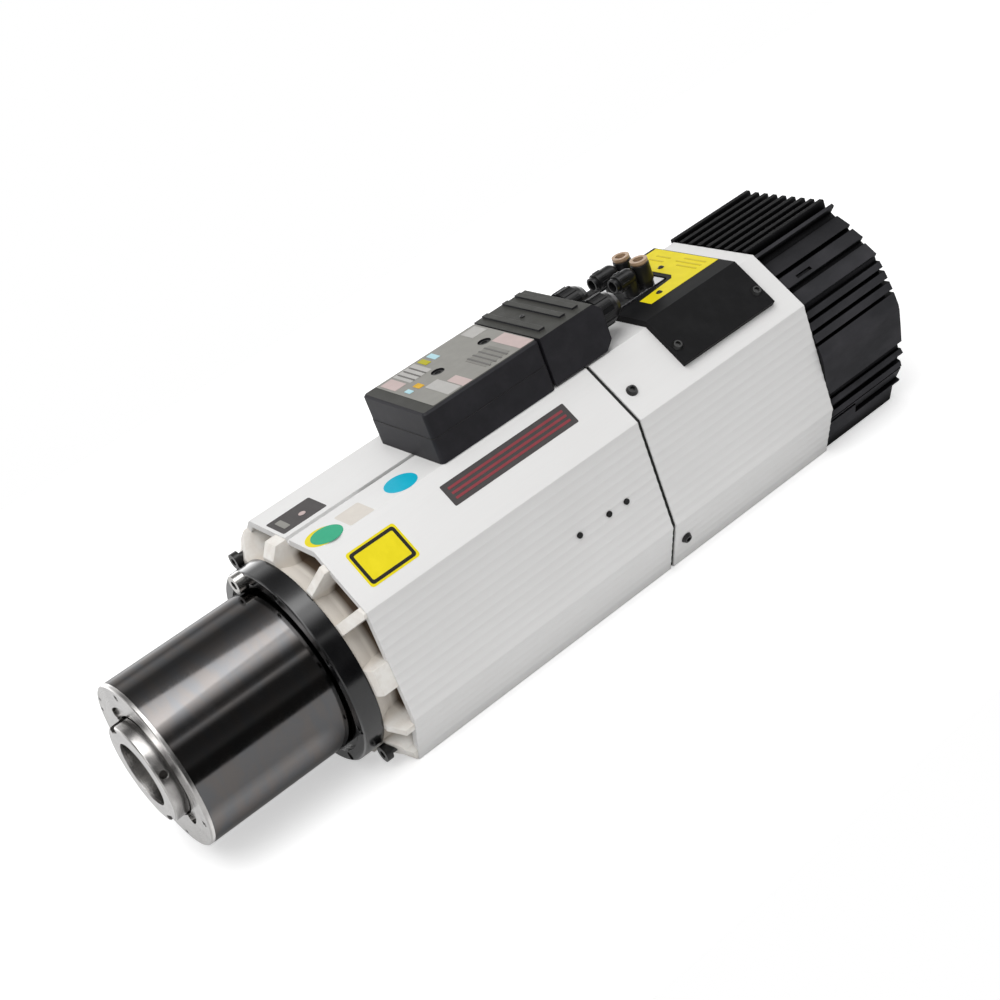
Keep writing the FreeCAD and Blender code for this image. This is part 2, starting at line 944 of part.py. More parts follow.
def bearing_outer_rings():
    solids = [ring(outer, outer - bearing_wall(bore, outer), start, start + width)
              for start, bore, outer, width in bearing_rows()]
    spacer_start = bearing_start + front_bearing_width
    wall = bearing_wall(front_bore_radius, front_outer_radius)
    solids.append(ring(front_outer_radius, front_outer_radius - wall, spacer_start,
                       spacer_start + front_spacer_length))
    return group(solids)


def bearing_inner_rings():
    solids = [ring(bore + bearing_wall(bore, outer), bore, start, start + width)
              for start, bore, outer, width in bearing_rows()]
    spacer_start = bearing_start + front_bearing_width
    wall = bearing_wall(front_bore_radius, front_outer_radius)
    solids.append(ring(front_bore_radius + wall, front_bore_radius, spacer_start,
                       spacer_start + front_spacer_length))
    return group(solids)


def bearing_ball_rows():
    """Balls and cage of each bearing as one ring, riding on the inner ring."""
    solids = []
    for start, bore, outer, width in bearing_rows():
        wall = bearing_wall(bore, outer)
        inner, outer_edge = bore + wall, outer - wall - running_gap
        side = start + race_side_gap
        far = start + width - race_side_gap
        middle = (inner + outer_edge) / 2
        solids.append(turned([
            (inner, side + cage_shoulder), (middle - cage_flat, side), (middle + cage_flat, side),
            (outer_edge, side + cage_slope), (outer_edge, far - cage_slope), (middle + cage_flat, far),
            (middle - cage_flat, far), (inner, far - cage_shoulder),
        ]))
    return group(solids)


def spindle_shaft():
    bearing_seat_end = bearing_end + front_locknut_length
    mouth = socket_mouth_radius
    taper_end = mouth - socket_taper_drop
    body = turned([
        (mouth, 0), (shaft_end_radius - shaft_chamfer, 0), (shaft_end_radius, shaft_chamfer),
        (shaft_end_radius, bearing_start), (front_bore_radius, bearing_start),
        (front_bore_radius, bearing_seat_end), (shaft_mid_radius, bearing_seat_end),
        (shaft_mid_radius, shaft_step_place), (rear_bore_radius, shaft_step_place),
        (rear_bore_radius, shaft_end_place), (spring_bore_radius, shaft_end_place),
        (spring_bore_radius, spring_start), (drawbar_bore_radius, spring_start),
        (drawbar_bore_radius, chamber_back), (chamber_radius, chamber_back),
        (chamber_radius, socket_taper_length), (taper_end, socket_taper_length),
    ])
    cuts = []
    for angle in (notch_angle, notch_angle + 180):
        notch = Part.makeBox(shaft_end_radius, notch_length, notch_width,
                             V(shaft_end_radius - notch_depth, -overcut, -notch_width / 2))
        cuts.append(spun(notch, angle))
    for angle in (shaft_hole_angle, shaft_hole_angle + 180):
        x, z = polar(1.0, angle)
        mouth = V(x, 0, z) * (shaft_end_radius - notch_depth) + V(0, shaft_hole_place, 0)
        cuts.append(Part.makeCylinder(shaft_hole_radius, notch_depth + overcut, mouth, V(x, 0, z)))
    return body.cut(group(cuts))


def rotor_core():
    core = ring(rotor_radius, rear_bore_radius, stator_start, stator_end)
    wall = rotor_radius - end_ring_step
    inner = rear_bore_radius + end_ring_gap
    front = ring(wall, inner, stator_start - end_ring_length, stator_start)
    rear = ring(wall, inner, stator_end, stator_end + end_ring_length)
    return joined([core, front, rear])


def bearing_locknuts():
    front = ring(front_bore_radius + locknut_wall, front_bore_radius, bearing_end,
                 bearing_end + front_locknut_length)
    rear = ring(rear_bore_radius + locknut_wall, rear_bore_radius, rear_bearing_end,
                rear_bearing_end + rear_locknut_length)
    return group([front, rear])


def drawbar():
    cone_start = drawbar_head_start + drawbar_head_length
    cone_end = cone_start + drawbar_cone_length
    bar = turned([
        (0, drawbar_head_start), (drawbar_head_radius - drawbar_head_chamfer, drawbar_head_start),
        (drawbar_head_radius, drawbar_head_start + drawbar_head_chamfer), (drawbar_head_radius, cone_start),
        (drawbar_neck_radius, cone_end), (drawbar_neck_radius, drawbar_neck_end),
        (drawbar_radius, drawbar_neck_end), (drawbar_radius, drawbar_end_place), (0, drawbar_end_place),
    ])
    nut = ring(drawbar_nut_radius, 0, drawbar_nut_start, drawbar_nut_start + drawbar_nut_length)
    return joined([bar, nut])


def disc_springs():
    """Spring stack as one corrugated ring, one ridge for each group of discs."""
    outer = spring_bore_radius - spring_room
    hollow = outer - spring_ridge
    pitch = spring_length / spring_groups
    points = [(spring_inner_radius, spring_start)]
    for step in range(spring_groups):
        base = spring_start + pitch * step
        points += [(hollow, base), (outer, base + pitch / 2)]
    points += [(hollow, spring_start + spring_length), (spring_inner_radius, spring_start + spring_length)]
    return turned(points)


def segment_angles():
    return [first_segment_angle + 360.0 / segment_count * index for index in range(segment_count)]


def segment_profile():
    tip = segment_tip_place
    hook_end = tip + segment_tip_length + segment_hook_slope
    foot_end = chamber_back - segment_foot_rear_gap
    foot_start = foot_end - segment_foot_length
    cone_start = drawbar_head_start + drawbar_head_length
    slope = (drawbar_head_radius - drawbar_neck_radius) / drawbar_cone_length
    mouth = drawbar_head_radius + segment_cone_gap
    cone_end = cone_start + (mouth - segment_inner_radius) / slope
    return [
        (mouth, tip), (segment_hook_radius - segment_tip_chamfer, tip),
        (segment_hook_radius, tip + segment_tip_chamfer),
        (segment_hook_radius, tip + segment_tip_length), (segment_body_radius, hook_end),
        (segment_body_radius, foot_start), (segment_foot_radius, foot_start),
        (segment_foot_radius, foot_end), (segment_inner_radius, foot_end),
        (segment_inner_radius, cone_end), (mouth, cone_start),
    ]


def gripper_segment(angle):
    return spun(swept(segment_profile(), segment_span), angle - segment_span / 2)


def gripper_sleeve():
    foot_start = chamber_back - segment_foot_rear_gap - segment_foot_length
    end = foot_start - seat_gap
    return ring(chamber_radius, gripper_sleeve_bore, end - gripper_sleeve_length, end)


def winding_ring(start, end):
    edge = winding_corner
    return turned([
        (winding_inner_radius, start + edge), (winding_inner_radius + edge, start),
        (winding_outer_radius - edge, start), (winding_outer_radius, start + edge),
        (winding_outer_radius, end - edge), (winding_outer_radius - edge, end),
        (winding_inner_radius + edge, end), (winding_inner_radius, end - edge),
    ])


def end_windings():
    return group([winding_ring(stator_start - winding_length, stator_start),
                  winding_ring(stator_end, stator_end + winding_length)])


def stator_core():
    return ring(stator_radius, stator_bore_radius, stator_start, stator_end)


def cooling_sleeve():
    start, end = cover_start + casting_inner_length, shield_start
    tube = ring(stator_radius + sleeve_wall, stator_radius, start, end)
    fins = []
    for index in range(sleeve_fin_count):
        root = stator_radius + join_depth
        fin = Part.makeBox(sleeve_fin_radius - root, end - start, sleeve_fin_width,
                           V(root, start, -sleeve_fin_width / 2))
        fins.append(spun(fin, 360.0 / sleeve_fin_count * (index + 0.5)))
    return joined([tube] + fins)


def rear_shield():
    plate = prism(octagon(cover_wall), shield_start, shield_end)
    spigot = ring(stator_radius, stator_radius - sleeve_spigot_wall, shield_start - shield_spigot_length,
                  shield_start + join_depth)
    shield = joined([plate, spigot])
    cuts = [rod(rear_outer_radius, rear_bearing_start, shield_end + overcut),
            rod(rear_outer_radius - shield_lip, shield_start - overcut, rear_bearing_start + overcut)]
    pitch = 360.0 / shield_vent_count
    for index in range(shield_vent_count):
        first, last = shield_start - overcut, shield_end + overcut
        vent = swept([(shield_vent_inner, first), (shield_vent_outer, first), (shield_vent_outer, last),
                      (shield_vent_inner, last)], shield_vent_span)
        cuts.append(spun(vent, pitch * index))
    return shield.cut(group(cuts))


def cylinder_body():
    start = shield_end
    return turned([
        (cylinder_radius - cylinder_wall, start), (cylinder_radius, start), (cylinder_radius, chamber_end),
        (cylinder_radius - cylinder_wall, chamber_end), (cylinder_radius - cylinder_wall, chamber_start),
        (piston_rod_radius + running_gap, chamber_start), (piston_rod_radius + running_gap, plate_front),
        (cylinder_radius - cylinder_wall, plate_front),
    ])


def cylinder_cap():
    return ring(cylinder_radius, piston_tail_radius + running_gap, chamber_end, cylinder_end)


def piston():
    back = chamber_end - seat_gap
    front = back - piston_thickness
    bore = cylinder_radius - cylinder_wall - running_gap
    groove_end = front + (piston_thickness + piston_seal_width) / 2
    groove_start = groove_end - piston_seal_width
    target_start = cylinder_end + target_stand
    body = turned([
        (0, drawbar_end_place + piston_push_gap), (piston_rod_radius, drawbar_end_place + piston_push_gap),
        (piston_rod_radius, front), (bore, front), (bore, groove_start),
        (bore - piston_seal_depth, groove_start), (bore - piston_seal_depth, groove_end),
        (bore, groove_end), (bore, back), (piston_tail_radius, back),
        (piston_tail_radius, target_start), (target_radius, target_start),
        (target_radius, target_start + target_length), (0, target_start + target_length),
    ])
    return body


def piston_seal():
    bore = cylinder_radius - cylinder_wall - running_gap
    front = chamber_end - seat_gap - piston_thickness
    groove_end = front + (piston_thickness + piston_seal_width) / 2
    return ring(bore, bore - piston_seal_depth, groove_end - piston_seal_width, groove_end)


def return_spring():
    front = chamber_end - seat_gap - piston_thickness
    return ring(return_spring_radius, return_spring_radius - return_spring_wall, chamber_start, front)


def sensor_row():
    return cylinder_end + target_stand + target_length / 2


def sensor_columns():
    first = -sensor_pitch * (sensor_count - 1) / 2
    return [first + sensor_pitch * index for index in range(sensor_count)]


def sensor_bracket():
    half = bracket_width / 2
    foot = block(-half, half, cylinder_end, cylinder_end + bracket_thickness, bracket_low, bracket_high)
    shelf = block(-half, half, cylinder_end, cylinder_end + bracket_depth, bracket_high - bracket_thickness,
                  bracket_high)
    depth = 2 * bracket_thickness
    holes = [Part.makeCylinder(sensor_radius, depth, V(x, sensor_row(), bracket_high - depth))
             for x in sensor_columns()]
    return joined([foot, shelf]).cut(group(holes))


def position_sensors():
    solids = []
    for x in sensor_columns():
        nearest = max(abs(x) - sensor_radius, 0)
        tip = math.sqrt(target_radius ** 2 - nearest ** 2) + sensor_air_gap
        solids.append(Part.makeCylinder(sensor_radius, sensor_length, V(x, sensor_row(), tip)))
    return group(solids)


def air_manifold():
    body = block(manifold_left, manifold_right, manifold_start, manifold_start + manifold_length,
                 manifold_low, manifold_height)
    cuts = [rod(cylinder_radius, manifold_start - overcut, manifold_start + manifold_length + overcut)]
    for x in fitting_columns:
        for y in (elbow_row, straight_row):
            base = V(x, y, manifold_height - stem_depth)
            cuts.append(Part.makeCylinder(stem_radius - stem_wall, stem_depth, base))
    return body.cut(group(cuts))


def grip_ribs(radius, start, end, count, width, height):
    """Straight ribs round a cylinder lying along the spindle axis."""
    ribs = []
    for index in range(count):
        rib = Part.makeBox(radius + height - radius / 2, end - start, width, V(radius / 2, start, -width / 2))
        ribs.append(spun(rib, 360.0 / count * index))
    return ribs


def elbow_mouth(number):
    return elbow_row - elbow_arm_lengths[number]


def elbow_fitting(number):
    """Push-in elbow: upright body, round crown and a ribbed tube arm towards the nose."""
    x, mouth = fitting_columns[number], elbow_mouth(number)
    base = V(x, elbow_row, manifold_height + seat_gap)
    up = V(0, 0, 1)
    upright = Part.makeCylinder(fitting_radius - fitting_neck_drop, elbow_axis_height - base.z, base, up)
    crown = Part.makeSphere(fitting_radius, V(x, elbow_row, elbow_axis_height))
    arm = rod(fitting_radius, mouth, elbow_row, x, elbow_axis_height)
    rib_start = mouth + grip_rib_margin
    ribs = grip_ribs(fitting_radius, rib_start, rib_start + grip_rib_length, grip_rib_count, grip_rib_width,
                     grip_rib_height)
    for rib in ribs:
        rib.translate(V(x, 0, elbow_axis_height))
    body = joined([upright, crown, arm] + ribs)
    bore = rod(collet_radius + seat_gap, mouth, mouth + collet_depth + collet_travel + seat_gap,
               x, elbow_axis_height)
    throat = rod(tube_radius - tube_stop_step, mouth, elbow_row, x, elbow_axis_height)
    stem_hole = Part.makeCylinder(tube_radius - tube_stop_step, elbow_axis_height - base.z, base, up)
    return body.cut(group([bore, throat, stem_hole]))


def straight_fittings():
    solids = []
    for x in fitting_columns:
        base = V(x, straight_row, manifold_height)
        body = Part.makeCylinder(straight_radius, straight_top - manifold_height, base)
        neck = Part.makeCylinder(fitting_radius - fitting_neck_drop, hex_height, base)
        body = body.cut(Part.makeCylinder(straight_radius, hex_height, base)).fuse(neck)
        depth = collet_depth + collet_travel + seat_gap
        bore = Part.makeCylinder(collet_radius + seat_gap, depth, V(x, straight_row, straight_top - depth))
        throat = Part.makeCylinder(tube_radius - tube_stop_step, straight_top - manifold_height, base)
        solids.append(body.removeSplitter().cut(group([bore, throat])))
    return group(solids)


def collet(mouth, inward, flange_radius):
    """Release ring of a push-in fitting, its flange standing clear of the mouth by its travel."""
    stand = collet_travel + seat_gap
    outside = mouth - inward * (stand + collet_flange)
    flange = Part.makeCylinder(flange_radius, collet_flange, outside, inward)
    length = stand + collet_depth - collet_travel
    sleeve = Part.makeCylinder(collet_radius, length, mouth - inward * stand, inward)
    bore = Part.makeCylinder(tube_radius, 2 * collet_depth, outside, inward)
    return flange.fuse(sleeve).cut(bore)


def elbow_collet(number):
    mouth = V(fitting_columns[number], elbow_mouth(number), elbow_axis_height)
    return collet(mouth, V(0, 1, 0), collet_radius + seat_gap)


def straight_collet(number):
    mouth = V(fitting_columns[number], straight_row, straight_top)
    return collet(mouth, V(0, 0, -1), straight_collet_radius)


def access_plate():
    """Bent sheet over the top and one upper slope, with a notch for the air fittings."""
    corner, run, outward, _ = facet(0)
    lower = corner + run * plate_drop
    lower_out = lower + outward * plate_thickness
    bend = crossing((V(0, 0, top_height + plate_thickness), V(1, 0, 0)), (lower_out, run))
    section = [
        (-top_width / 2, top_height), (corner.x, corner.z), (lower.x, lower.z), (lower_out.x, lower_out.z),
        bend, (-top_width / 2, top_height + plate_thickness),
    ]
    plate = prism(section, plate_start, plate_end)
    notch = block(notch_left, notch_right, plate_start - overcut, notch_end, top_height - overcut,
                  top_height + plate_thickness + overcut)
    upright = [edge for edge in notch.Edges
               if edge.BoundBox.ZLength > plate_thickness and edge.BoundBox.YMin > notch_end - overcut]
    cuts = [notch.makeFillet(notch_corner, upright)]
    for place, direction in plate_screw_sites():
        cuts.append(Part.makeCylinder(plate_screw_radius * screw_hole_ratio, 2 * plate_thickness,
                                      place + direction, direction * -1))
    for place, direction in label_screw_sites():
        cuts.append(Part.makeCylinder(label_screw_radius * screw_hole_ratio, 2 * plate_thickness,
                                      place + direction, direction * -1))
    return plate.cut(group(cuts))


def access_plate_screws():
    solids = [button_screw(place, direction, plate_screw_radius, plate_screw_height, plate_thickness)
              for place, direction in plate_screw_sites()]
    solids += [button_screw(place, direction, label_screw_radius, plate_screw_height / 2, plate_thickness)
               for place, direction in label_screw_sites()]
    return group(solids)


def box_section(left, right, start, end, low, high, corner):
    """Upright block with rounded upright corners."""
    solid = block(left, right, start, end, low, high)
    upright = [edge for edge in solid.Edges if edge.BoundBox.ZLength > overcut]
    return solid.makeFillet(corner, upright)


def connector_base():
    return box_section(connector_left, connector_right, connector_start, connector_end, top_height,
                       connector_split, connector_corner)


def connector_screw_sites():
    return [V(connector_screw_column, connector_start + setback, connector_top - connector_screw_height)
            for setback in connector_screw_setbacks]


def connector_housing():
    step = connector_step
    lower = box_section(connector_left + step, connector_right - step, connector_start + step, connector_end,
                        connector_split, connector_top, connector_corner)
    edges = [edge for edge in lower.Edges if edge.BoundBox.ZMin > connector_top - running_gap]
    body = lower.makeChamfer(connector_draft, edges)
    cuts = [Part.makeCylinder(connector_screw_radius, connector_screw_height + overcut, base)
            for base in connector_screw_sites()]
    return body.cut(group(cuts))


def connector_hood():
    end = gland_start
    low = top_height + hood_lift
    body = block(connector_left, connector_right, hood_start, end, low, connector_top)
    across = [edge for edge in body.Edges
              if edge.BoundBox.XLength > overcut and edge.BoundBox.YMin > end - running_gap]
    body = body.makeChamfer(hood_round / 2, across)
    neck = block(connector_left + hood_neck_inset, connector_right - hood_neck_inset, hood_start - hood_joint,
                 hood_start + hood_joint, low + hood_neck_drop, connector_top - hood_neck_drop)
    ribs = [block(connector_left + hood_side_margin, connector_right - hood_rib_margin, hood_start + place,
                  hood_start + place + hood_rib_width, connector_top - join_depth,
                  connector_top + hood_rib_height)
            for place in hood_rib_places]
    body = joined([body, neck] + ribs)
    reach = hood_round + hood_bore_reach
    cuts = [rod(gland_bore_radius, end - reach, end + overcut, x, gland_height) for x in gland_columns]
    return body.cut(group(cuts))


def flat_screw(base, radius, height):
    head = Part.makeCylinder(radius, height, base)
    top = base + V(0, 0, height)
    return head.cut(hex_socket(radius * socket_ratio, height * socket_depth_ratio, top, V(0, 0, 1)))


def connector_screws():
    height = connector_head_height
    radius = connector_screw_radius - screw_gap
    screws = [flat_screw(base, radius, height) for base in connector_screw_sites()]
    hood_base = V(connector_screw_column, hood_start + hood_screw_offset, connector_top)
    return group(screws + [flat_screw(hood_base, hood_screw_radius, height)])


def cable_glands():
    start, end = gland_start, gland_start + gland_body_length
    return group([rod(gland_body_radius, start, end, x, gland_height).cut(
        rod(gland_bore_radius, start, end, x, gland_height)) for x in gland_columns])


def gland_nuts():
    start = gland_start + gland_body_length - gland_nut_overlap
    end = start + gland_nut_length
    dome = end - gland_dome_length
    solids = []
    for x in gland_columns:
        nut = turned([
            (gland_body_radius, start), (gland_nut_radius, start), (gland_nut_radius, dome),
            (gland_nut_radius - gland_dome_step, dome + gland_dome_length / 2),
            (gland_bore_radius + gland_lip, end), (gland_bore_radius, end),
            (gland_bore_radius, start + gland_nut_overlap), (gland_body_radius, start + gland_nut_overlap),
        ])
        ribs = grip_ribs(gland_nut_radius, start, dome, gland_rib_count, gland_rib_width, gland_rib_height)
        hollow = rod(gland_nut_radius - gland_dome_step, start, dome)
        nut = joined([nut] + [rib.cut(hollow) for rib in ribs])
        nut.translate(V(x, 0, gland_height))
        solids.append(nut)
    return group(solids)


def facet_bar(index, corners, front, rear):
    """Straight bar on a right-hand facet; corners are distances down it and heights above it."""
    corner, run, outward, _ = facet(index)
    points = [corner + run * place + outward * height for place, height in corners]
    return prism([(point.x, point.z) for point in points], front, rear)


def cap_ridge(index, ridge, rear):
    start, end, low, high = ridge
    root = -cap_inset - cap_ridge_root
    return facet_bar(index, [(start, root), (start, low), (end, high), (end, root)], cap_start, rear)


def cap_fins():
    fins = []
    half = cap_fin_width / 2
    last = top_fin_count - 1
    for step in range(top_fin_count):
        x = top_fin_first + top_fin_pitch * step
        rise = cap_tall_rise if step in (0, last) else cap_fin_rise
        fins.append(block(x - half, x + half, cap_start, cap_end, top_height - cap_inset - cap_fin_root,
                          top_height + rise))
    sides = []
    for index, ridges in ((0, slope_ridges), (1, side_ridges), (2, low_ridges)):
        sides += [cap_ridge(index, ridge, cap_end) for ridge in ridges]
    sides.append(cap_ridge(2, low_boss, cap_start + low_boss_length))
    return fins + [cap_ridge(0, cap_tall_fin, cap_end)] + sides + [mirrored(fin) for fin in sides]


def low_trim():
    """What is cut away where the cap's lower third stops short of its rear end."""
    corner, run, _, _ = facet(2)
    level = (corner + run * low_trim_place).z
    start = cap_end - low_trim_length
    slab = block(-body_width, body_width, start, cap_end, 2 * base_height, level)
    return slab.cut(rod(cap_bore_radius + cap_rear_wall, start, cap_end))


def fin_cap():
    body = prism(octagon(cap_inset), cap_start, cap_end)
    body = joined([body] + cap_fins())
    start, end, low, high = cap_slot
    slot_front = cap_start + cap_slot_setback
    slot = facet_bar(0, [(start, low), (start, 0), (end, 0), (end, high)], slot_front,
                     slot_front + cap_slot_length)
    bore = rod(cap_bore_radius, cap_start - overcut, cap_end + overcut)
    return body.cut(group([bore, low_trim(), slot]))


def fan_frame():
    start = cap_start + fan_start
    end = start + fan_frame_length
    outer = cap_bore_radius
    shroud = ring(outer, outer - fan_frame_wall, start, end)
    struts = []
    for index in range(fan_strut_count):
        strut = Part.makeBox(outer - fan_frame_wall / 2, fan_strut_depth, fan_strut_width,
                             V(0, start, -fan_strut_width / 2))
        struts.append(spun(strut, 90 + 360.0 / fan_strut_count * index))
    motor = rod(fan_motor_radius, start, start + fan_motor_length)
    pin_start = start + fan_motor_length
    pin = rod(fan_pin_radius, pin_start - join_depth, pin_start + fan_pin_length)
    return joined([shroud, motor, pin] + struts)


def blade_section(radius, angle, middle):
    """Closed airfoil-like outline of a blade at one radius, set at an angle to the fan's plane."""
    half = blade_chord / 2 * (blade_root_share + (1 - blade_root_share) * radius / blade_tip_radius)
    lean = math.radians(angle)
    peak = -half * blade_peak_share
    outline = [(-half, 0.0), (peak, blade_thickness), (half, blade_edge), (half, -blade_edge),
               (peak, -blade_edge)]
    points = []
    for along, across in outline:
        place = along * math.sin(lean) + across * math.cos(lean)
        side = along * math.cos(lean) - across * math.sin(lean)
        points.append(V(radius, middle + place, side))
    return Part.makePolygon(points + points[:1])


def fan_impeller():
    start = cap_start + fan_start + fan_motor_length + impeller_gap
    end = start + impeller_length
    middle = (start + end) / 2
    cup = ring(impeller_hub_radius, 0, start, end)
    cup = cup.cut(rod(impeller_hub_radius - impeller_wall, start, end - impeller_wall * 2))
    boss = rod(fan_pin_radius + fan_boss_wall, start, end)
    hub = joined([cup, boss])
    blades = []
    for index in range(blade_count):
        root = blade_section(impeller_hub_radius - join_depth, blade_root_angle, middle)
        tip = blade_section(blade_tip_radius, blade_tip_angle, middle)
        blade = Part.makeLoft([root, tip], True, True)
        blades.append(spun(blade, 360.0 / blade_count * index))
    wheel = joined([hub] + blades)
    pin_end = cap_start + fan_start + fan_motor_length + fan_pin_length
    return wheel.cut(rod(fan_pin_radius + running_gap, start - overcut, pin_end + seat_gap))


def rear_guard():
    start, end = cap_end - guard_thickness, cap_end
    rim = ring(cap_bore_radius, cap_bore_radius - guard_rim_width, start, end)
    rings = [ring(radius + guard_ring_width / 2, radius - guard_ring_width / 2, start, end)
             for radius in guard_ring_radii]
    bars = []
    for index in range(guard_bar_count):
        bar = Part.makeBox(cap_bore_radius - guard_rim_width / 2, guard_thickness, guard_ring_width,
                           V(0, start, -guard_ring_width / 2))
        bars.append(spun(bar, guard_bar_angle + 360.0 / guard_bar_count * index))
    hub = rod(guard_ring_radii[0] / 2, start, end)
    return joined([rim, hub] + rings + bars)


def guard_screws():
    solids = []
    for index in range(guard_bar_count):
        x, z = polar(guard_screw_ring_radius, guard_bar_angle + 360.0 / guard_bar_count * index)
        solids.append(rod(guard_screw_radius, cap_end, cap_end + guard_screw_height, x, z))
    return group(solids)


def all_parts():
    parts = {
        "nose_housing": nose_housing(),
        "nose_cover": nose_cover(),
        "nose_cover_screws": nose_cover_screws(),
        "front_flange": front_flange(),
        "flange_screws": flange_screws(),
        "purge_fitting": purge_fitting(),
        "front_casting": front_casting(),
        "casting_bolts": casting_bolts(),
        "front_cover": front_cover(),
        "seam_gasket": seam_gasket(),
        "rear_cover": rear_cover(),
        "cover_screws": cover_screws(),
        "side_plugs": side_plugs(),
        "cooling_sleeve": cooling_sleeve(),
        "stator_core": stator_core(),
        "end_windings": end_windings(),
        "rear_shield": rear_shield(),
        "bearing_outer_rings": bearing_outer_rings(),
        "cylinder_body": cylinder_body(),
        "cylinder_cap": cylinder_cap(),
        "sensor_bracket": sensor_bracket(),
        "position_sensors": position_sensors(),
        "air_manifold": air_manifold(),
        "straight_fittings": straight_fittings(),
        "access_plate": access_plate(),
        "access_plate_screws": access_plate_screws(),
        "connector_base": connector_base(),
        "connector_housing": connector_housing(),
        "connector_hood": connector_hood(),
        "connector_screws": connector_screws(),
        "cable_glands": cable_glands(),
        "gland_nuts": gland_nuts(),
        "fin_cap": fin_cap(),
        "fan_frame": fan_frame(),
        "rear_guard": rear_guard(),
        "guard_screws": guard_screws(),
        "spindle_shaft": spindle_shaft(),
        "rotor_core": rotor_core(),
        "bearing_inner_rings": bearing_inner_rings(),
        "bearing_ball_rows": bearing_ball_rows(),
        "bearing_locknuts": bearing_locknuts(),
        "disc_springs": disc_springs(),
        "gripper_sleeve": gripper_sleeve(),
        "drawbar": drawbar(),
        "piston": piston(),
        "piston_seal": piston_seal(),
        "return_spring": return_spring(),
        "fan_impeller": fan_impeller(),
    }
    for number, angle in enumerate(segment_angles(), 1):
        parts["gripper_segment_%d" % number] = gripper_segment(angle)
    for number in range(len(fitting_columns)):
        parts["elbow_fitting_%d" % (number + 1)] = elbow_fitting(number)
        parts["elbow_collet_%d" % (number + 1)] = elbow_collet(number)
        parts["straight_collet_%d" % (number + 1)] = straight_collet(number)
    return parts


def main():
    os.makedirs("parts", exist_ok=True)
    for name, shape in all_parts().items():
        shape.exportStep("parts/%s.step" % name)


main()
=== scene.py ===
"""Looks of the spindle motor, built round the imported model. Metres, in the model's own frame."""

import json
import math

import bmesh
import bpy
from mathutils import Matrix, Vector


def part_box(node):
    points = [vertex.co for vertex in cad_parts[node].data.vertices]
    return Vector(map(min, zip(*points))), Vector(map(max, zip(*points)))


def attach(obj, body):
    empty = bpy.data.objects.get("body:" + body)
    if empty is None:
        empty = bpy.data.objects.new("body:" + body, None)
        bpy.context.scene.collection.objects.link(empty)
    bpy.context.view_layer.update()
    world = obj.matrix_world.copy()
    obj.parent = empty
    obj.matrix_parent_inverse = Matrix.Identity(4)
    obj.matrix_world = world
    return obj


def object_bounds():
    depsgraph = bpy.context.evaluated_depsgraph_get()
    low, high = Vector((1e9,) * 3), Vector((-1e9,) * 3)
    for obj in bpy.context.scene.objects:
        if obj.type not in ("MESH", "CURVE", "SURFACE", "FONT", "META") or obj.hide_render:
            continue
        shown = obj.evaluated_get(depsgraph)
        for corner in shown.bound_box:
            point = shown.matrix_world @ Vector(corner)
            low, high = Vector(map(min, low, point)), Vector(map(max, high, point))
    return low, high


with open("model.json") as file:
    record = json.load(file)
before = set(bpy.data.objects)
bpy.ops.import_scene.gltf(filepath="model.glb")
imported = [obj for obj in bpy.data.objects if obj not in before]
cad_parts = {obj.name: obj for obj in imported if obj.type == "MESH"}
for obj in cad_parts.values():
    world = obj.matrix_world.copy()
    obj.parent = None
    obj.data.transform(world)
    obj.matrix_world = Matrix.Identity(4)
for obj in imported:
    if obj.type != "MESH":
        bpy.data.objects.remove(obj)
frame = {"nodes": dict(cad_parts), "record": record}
cad_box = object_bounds()

MM = 0.001

# Camera, fitted to the photograph
CAMERA_AZIMUTH = 62.491
CAMERA_ELEVATION = 27.725
CAMERA_ROLL = -21.321
CAMERA_FOCAL_PIXELS = 1811.26
CAMERA_RIGHT = 115.604 * MM
CAMERA_UP = 96.565 * MM
CAMERA_DISTANCE = 1228.33 * MM
CAMERA_REACH = 50.0
PICTURE_PIXELS = 1000
SENSOR_WIDTH = 36.0

# Brightness of what gloss sees, by the angle round the spindle axis from the right-hand level
STUDIO_PANELS = (
    (-180, 0.95), (-168, 0.70), (-158, 0.32), (-150, 0.20), (-90, 0.20), (-20, 0.10), (-14, 0.01),
    (2, 0.01), (8, 0.035), (18, 0.022), (32, 0.018), (36, 0.12), (39, 0.30), (42, 0.06), (48, 0.03),
    (54, 0.10), (60, 0.42), (67, 0.86), (78, 0.64), (90, 0.37), (100, 0.17), (112, 0.09), (124, 0.055),
    (133, 0.06), (142, 0.20), (151, 0.34), (161, 0.20), (170, 0.55), (180, 0.95),
)
STUDIO_STRENGTH = 3.8
AMBIENT_STRENGTH = 0.52

# Softboxes: place, target, width, height and power
KEY_LIGHT = ((0.5, -0.3, 2.2), (0, 0.3, 0), 1.8, 2.6, 40.0)
FILL_LIGHT = ((2.2, -1.2, 0.7), (0, 0.3, 0), 1.2, 1.2, 5.5)

# Left, right, front and rear edge of the floor, in metres, and the gap under the part
FLOOR_EDGES = (-0.70, 0.36, -1.9, 2.5)
FLOOR_GAP = 0.2 * MM
FLOOR_TONE = 0.80
FLOOR_ROUGHNESS = 0.9

# Glow of the floor: seen directly, and in gloss outside and inside a bright sheet below the nose.
# The sheet's edges are where it begins, is full, begins to end and has ended.
DIRECT_GLOW = 0.47
GLOSS_GLOW = (0.18, 0.95)
SHEET_ALONG = (5 * MM, 20 * MM, 112 * MM, 130 * MM)
SHEET_ACROSS = (15 * MM, 38 * MM, 75 * MM, 105 * MM)

# Thickness of a printed sheet, and how many sheets high its fields and the marks on those stand
LABEL = 0.15 * MM
FIELD_LEVEL = 2
MARK_LEVEL = 3

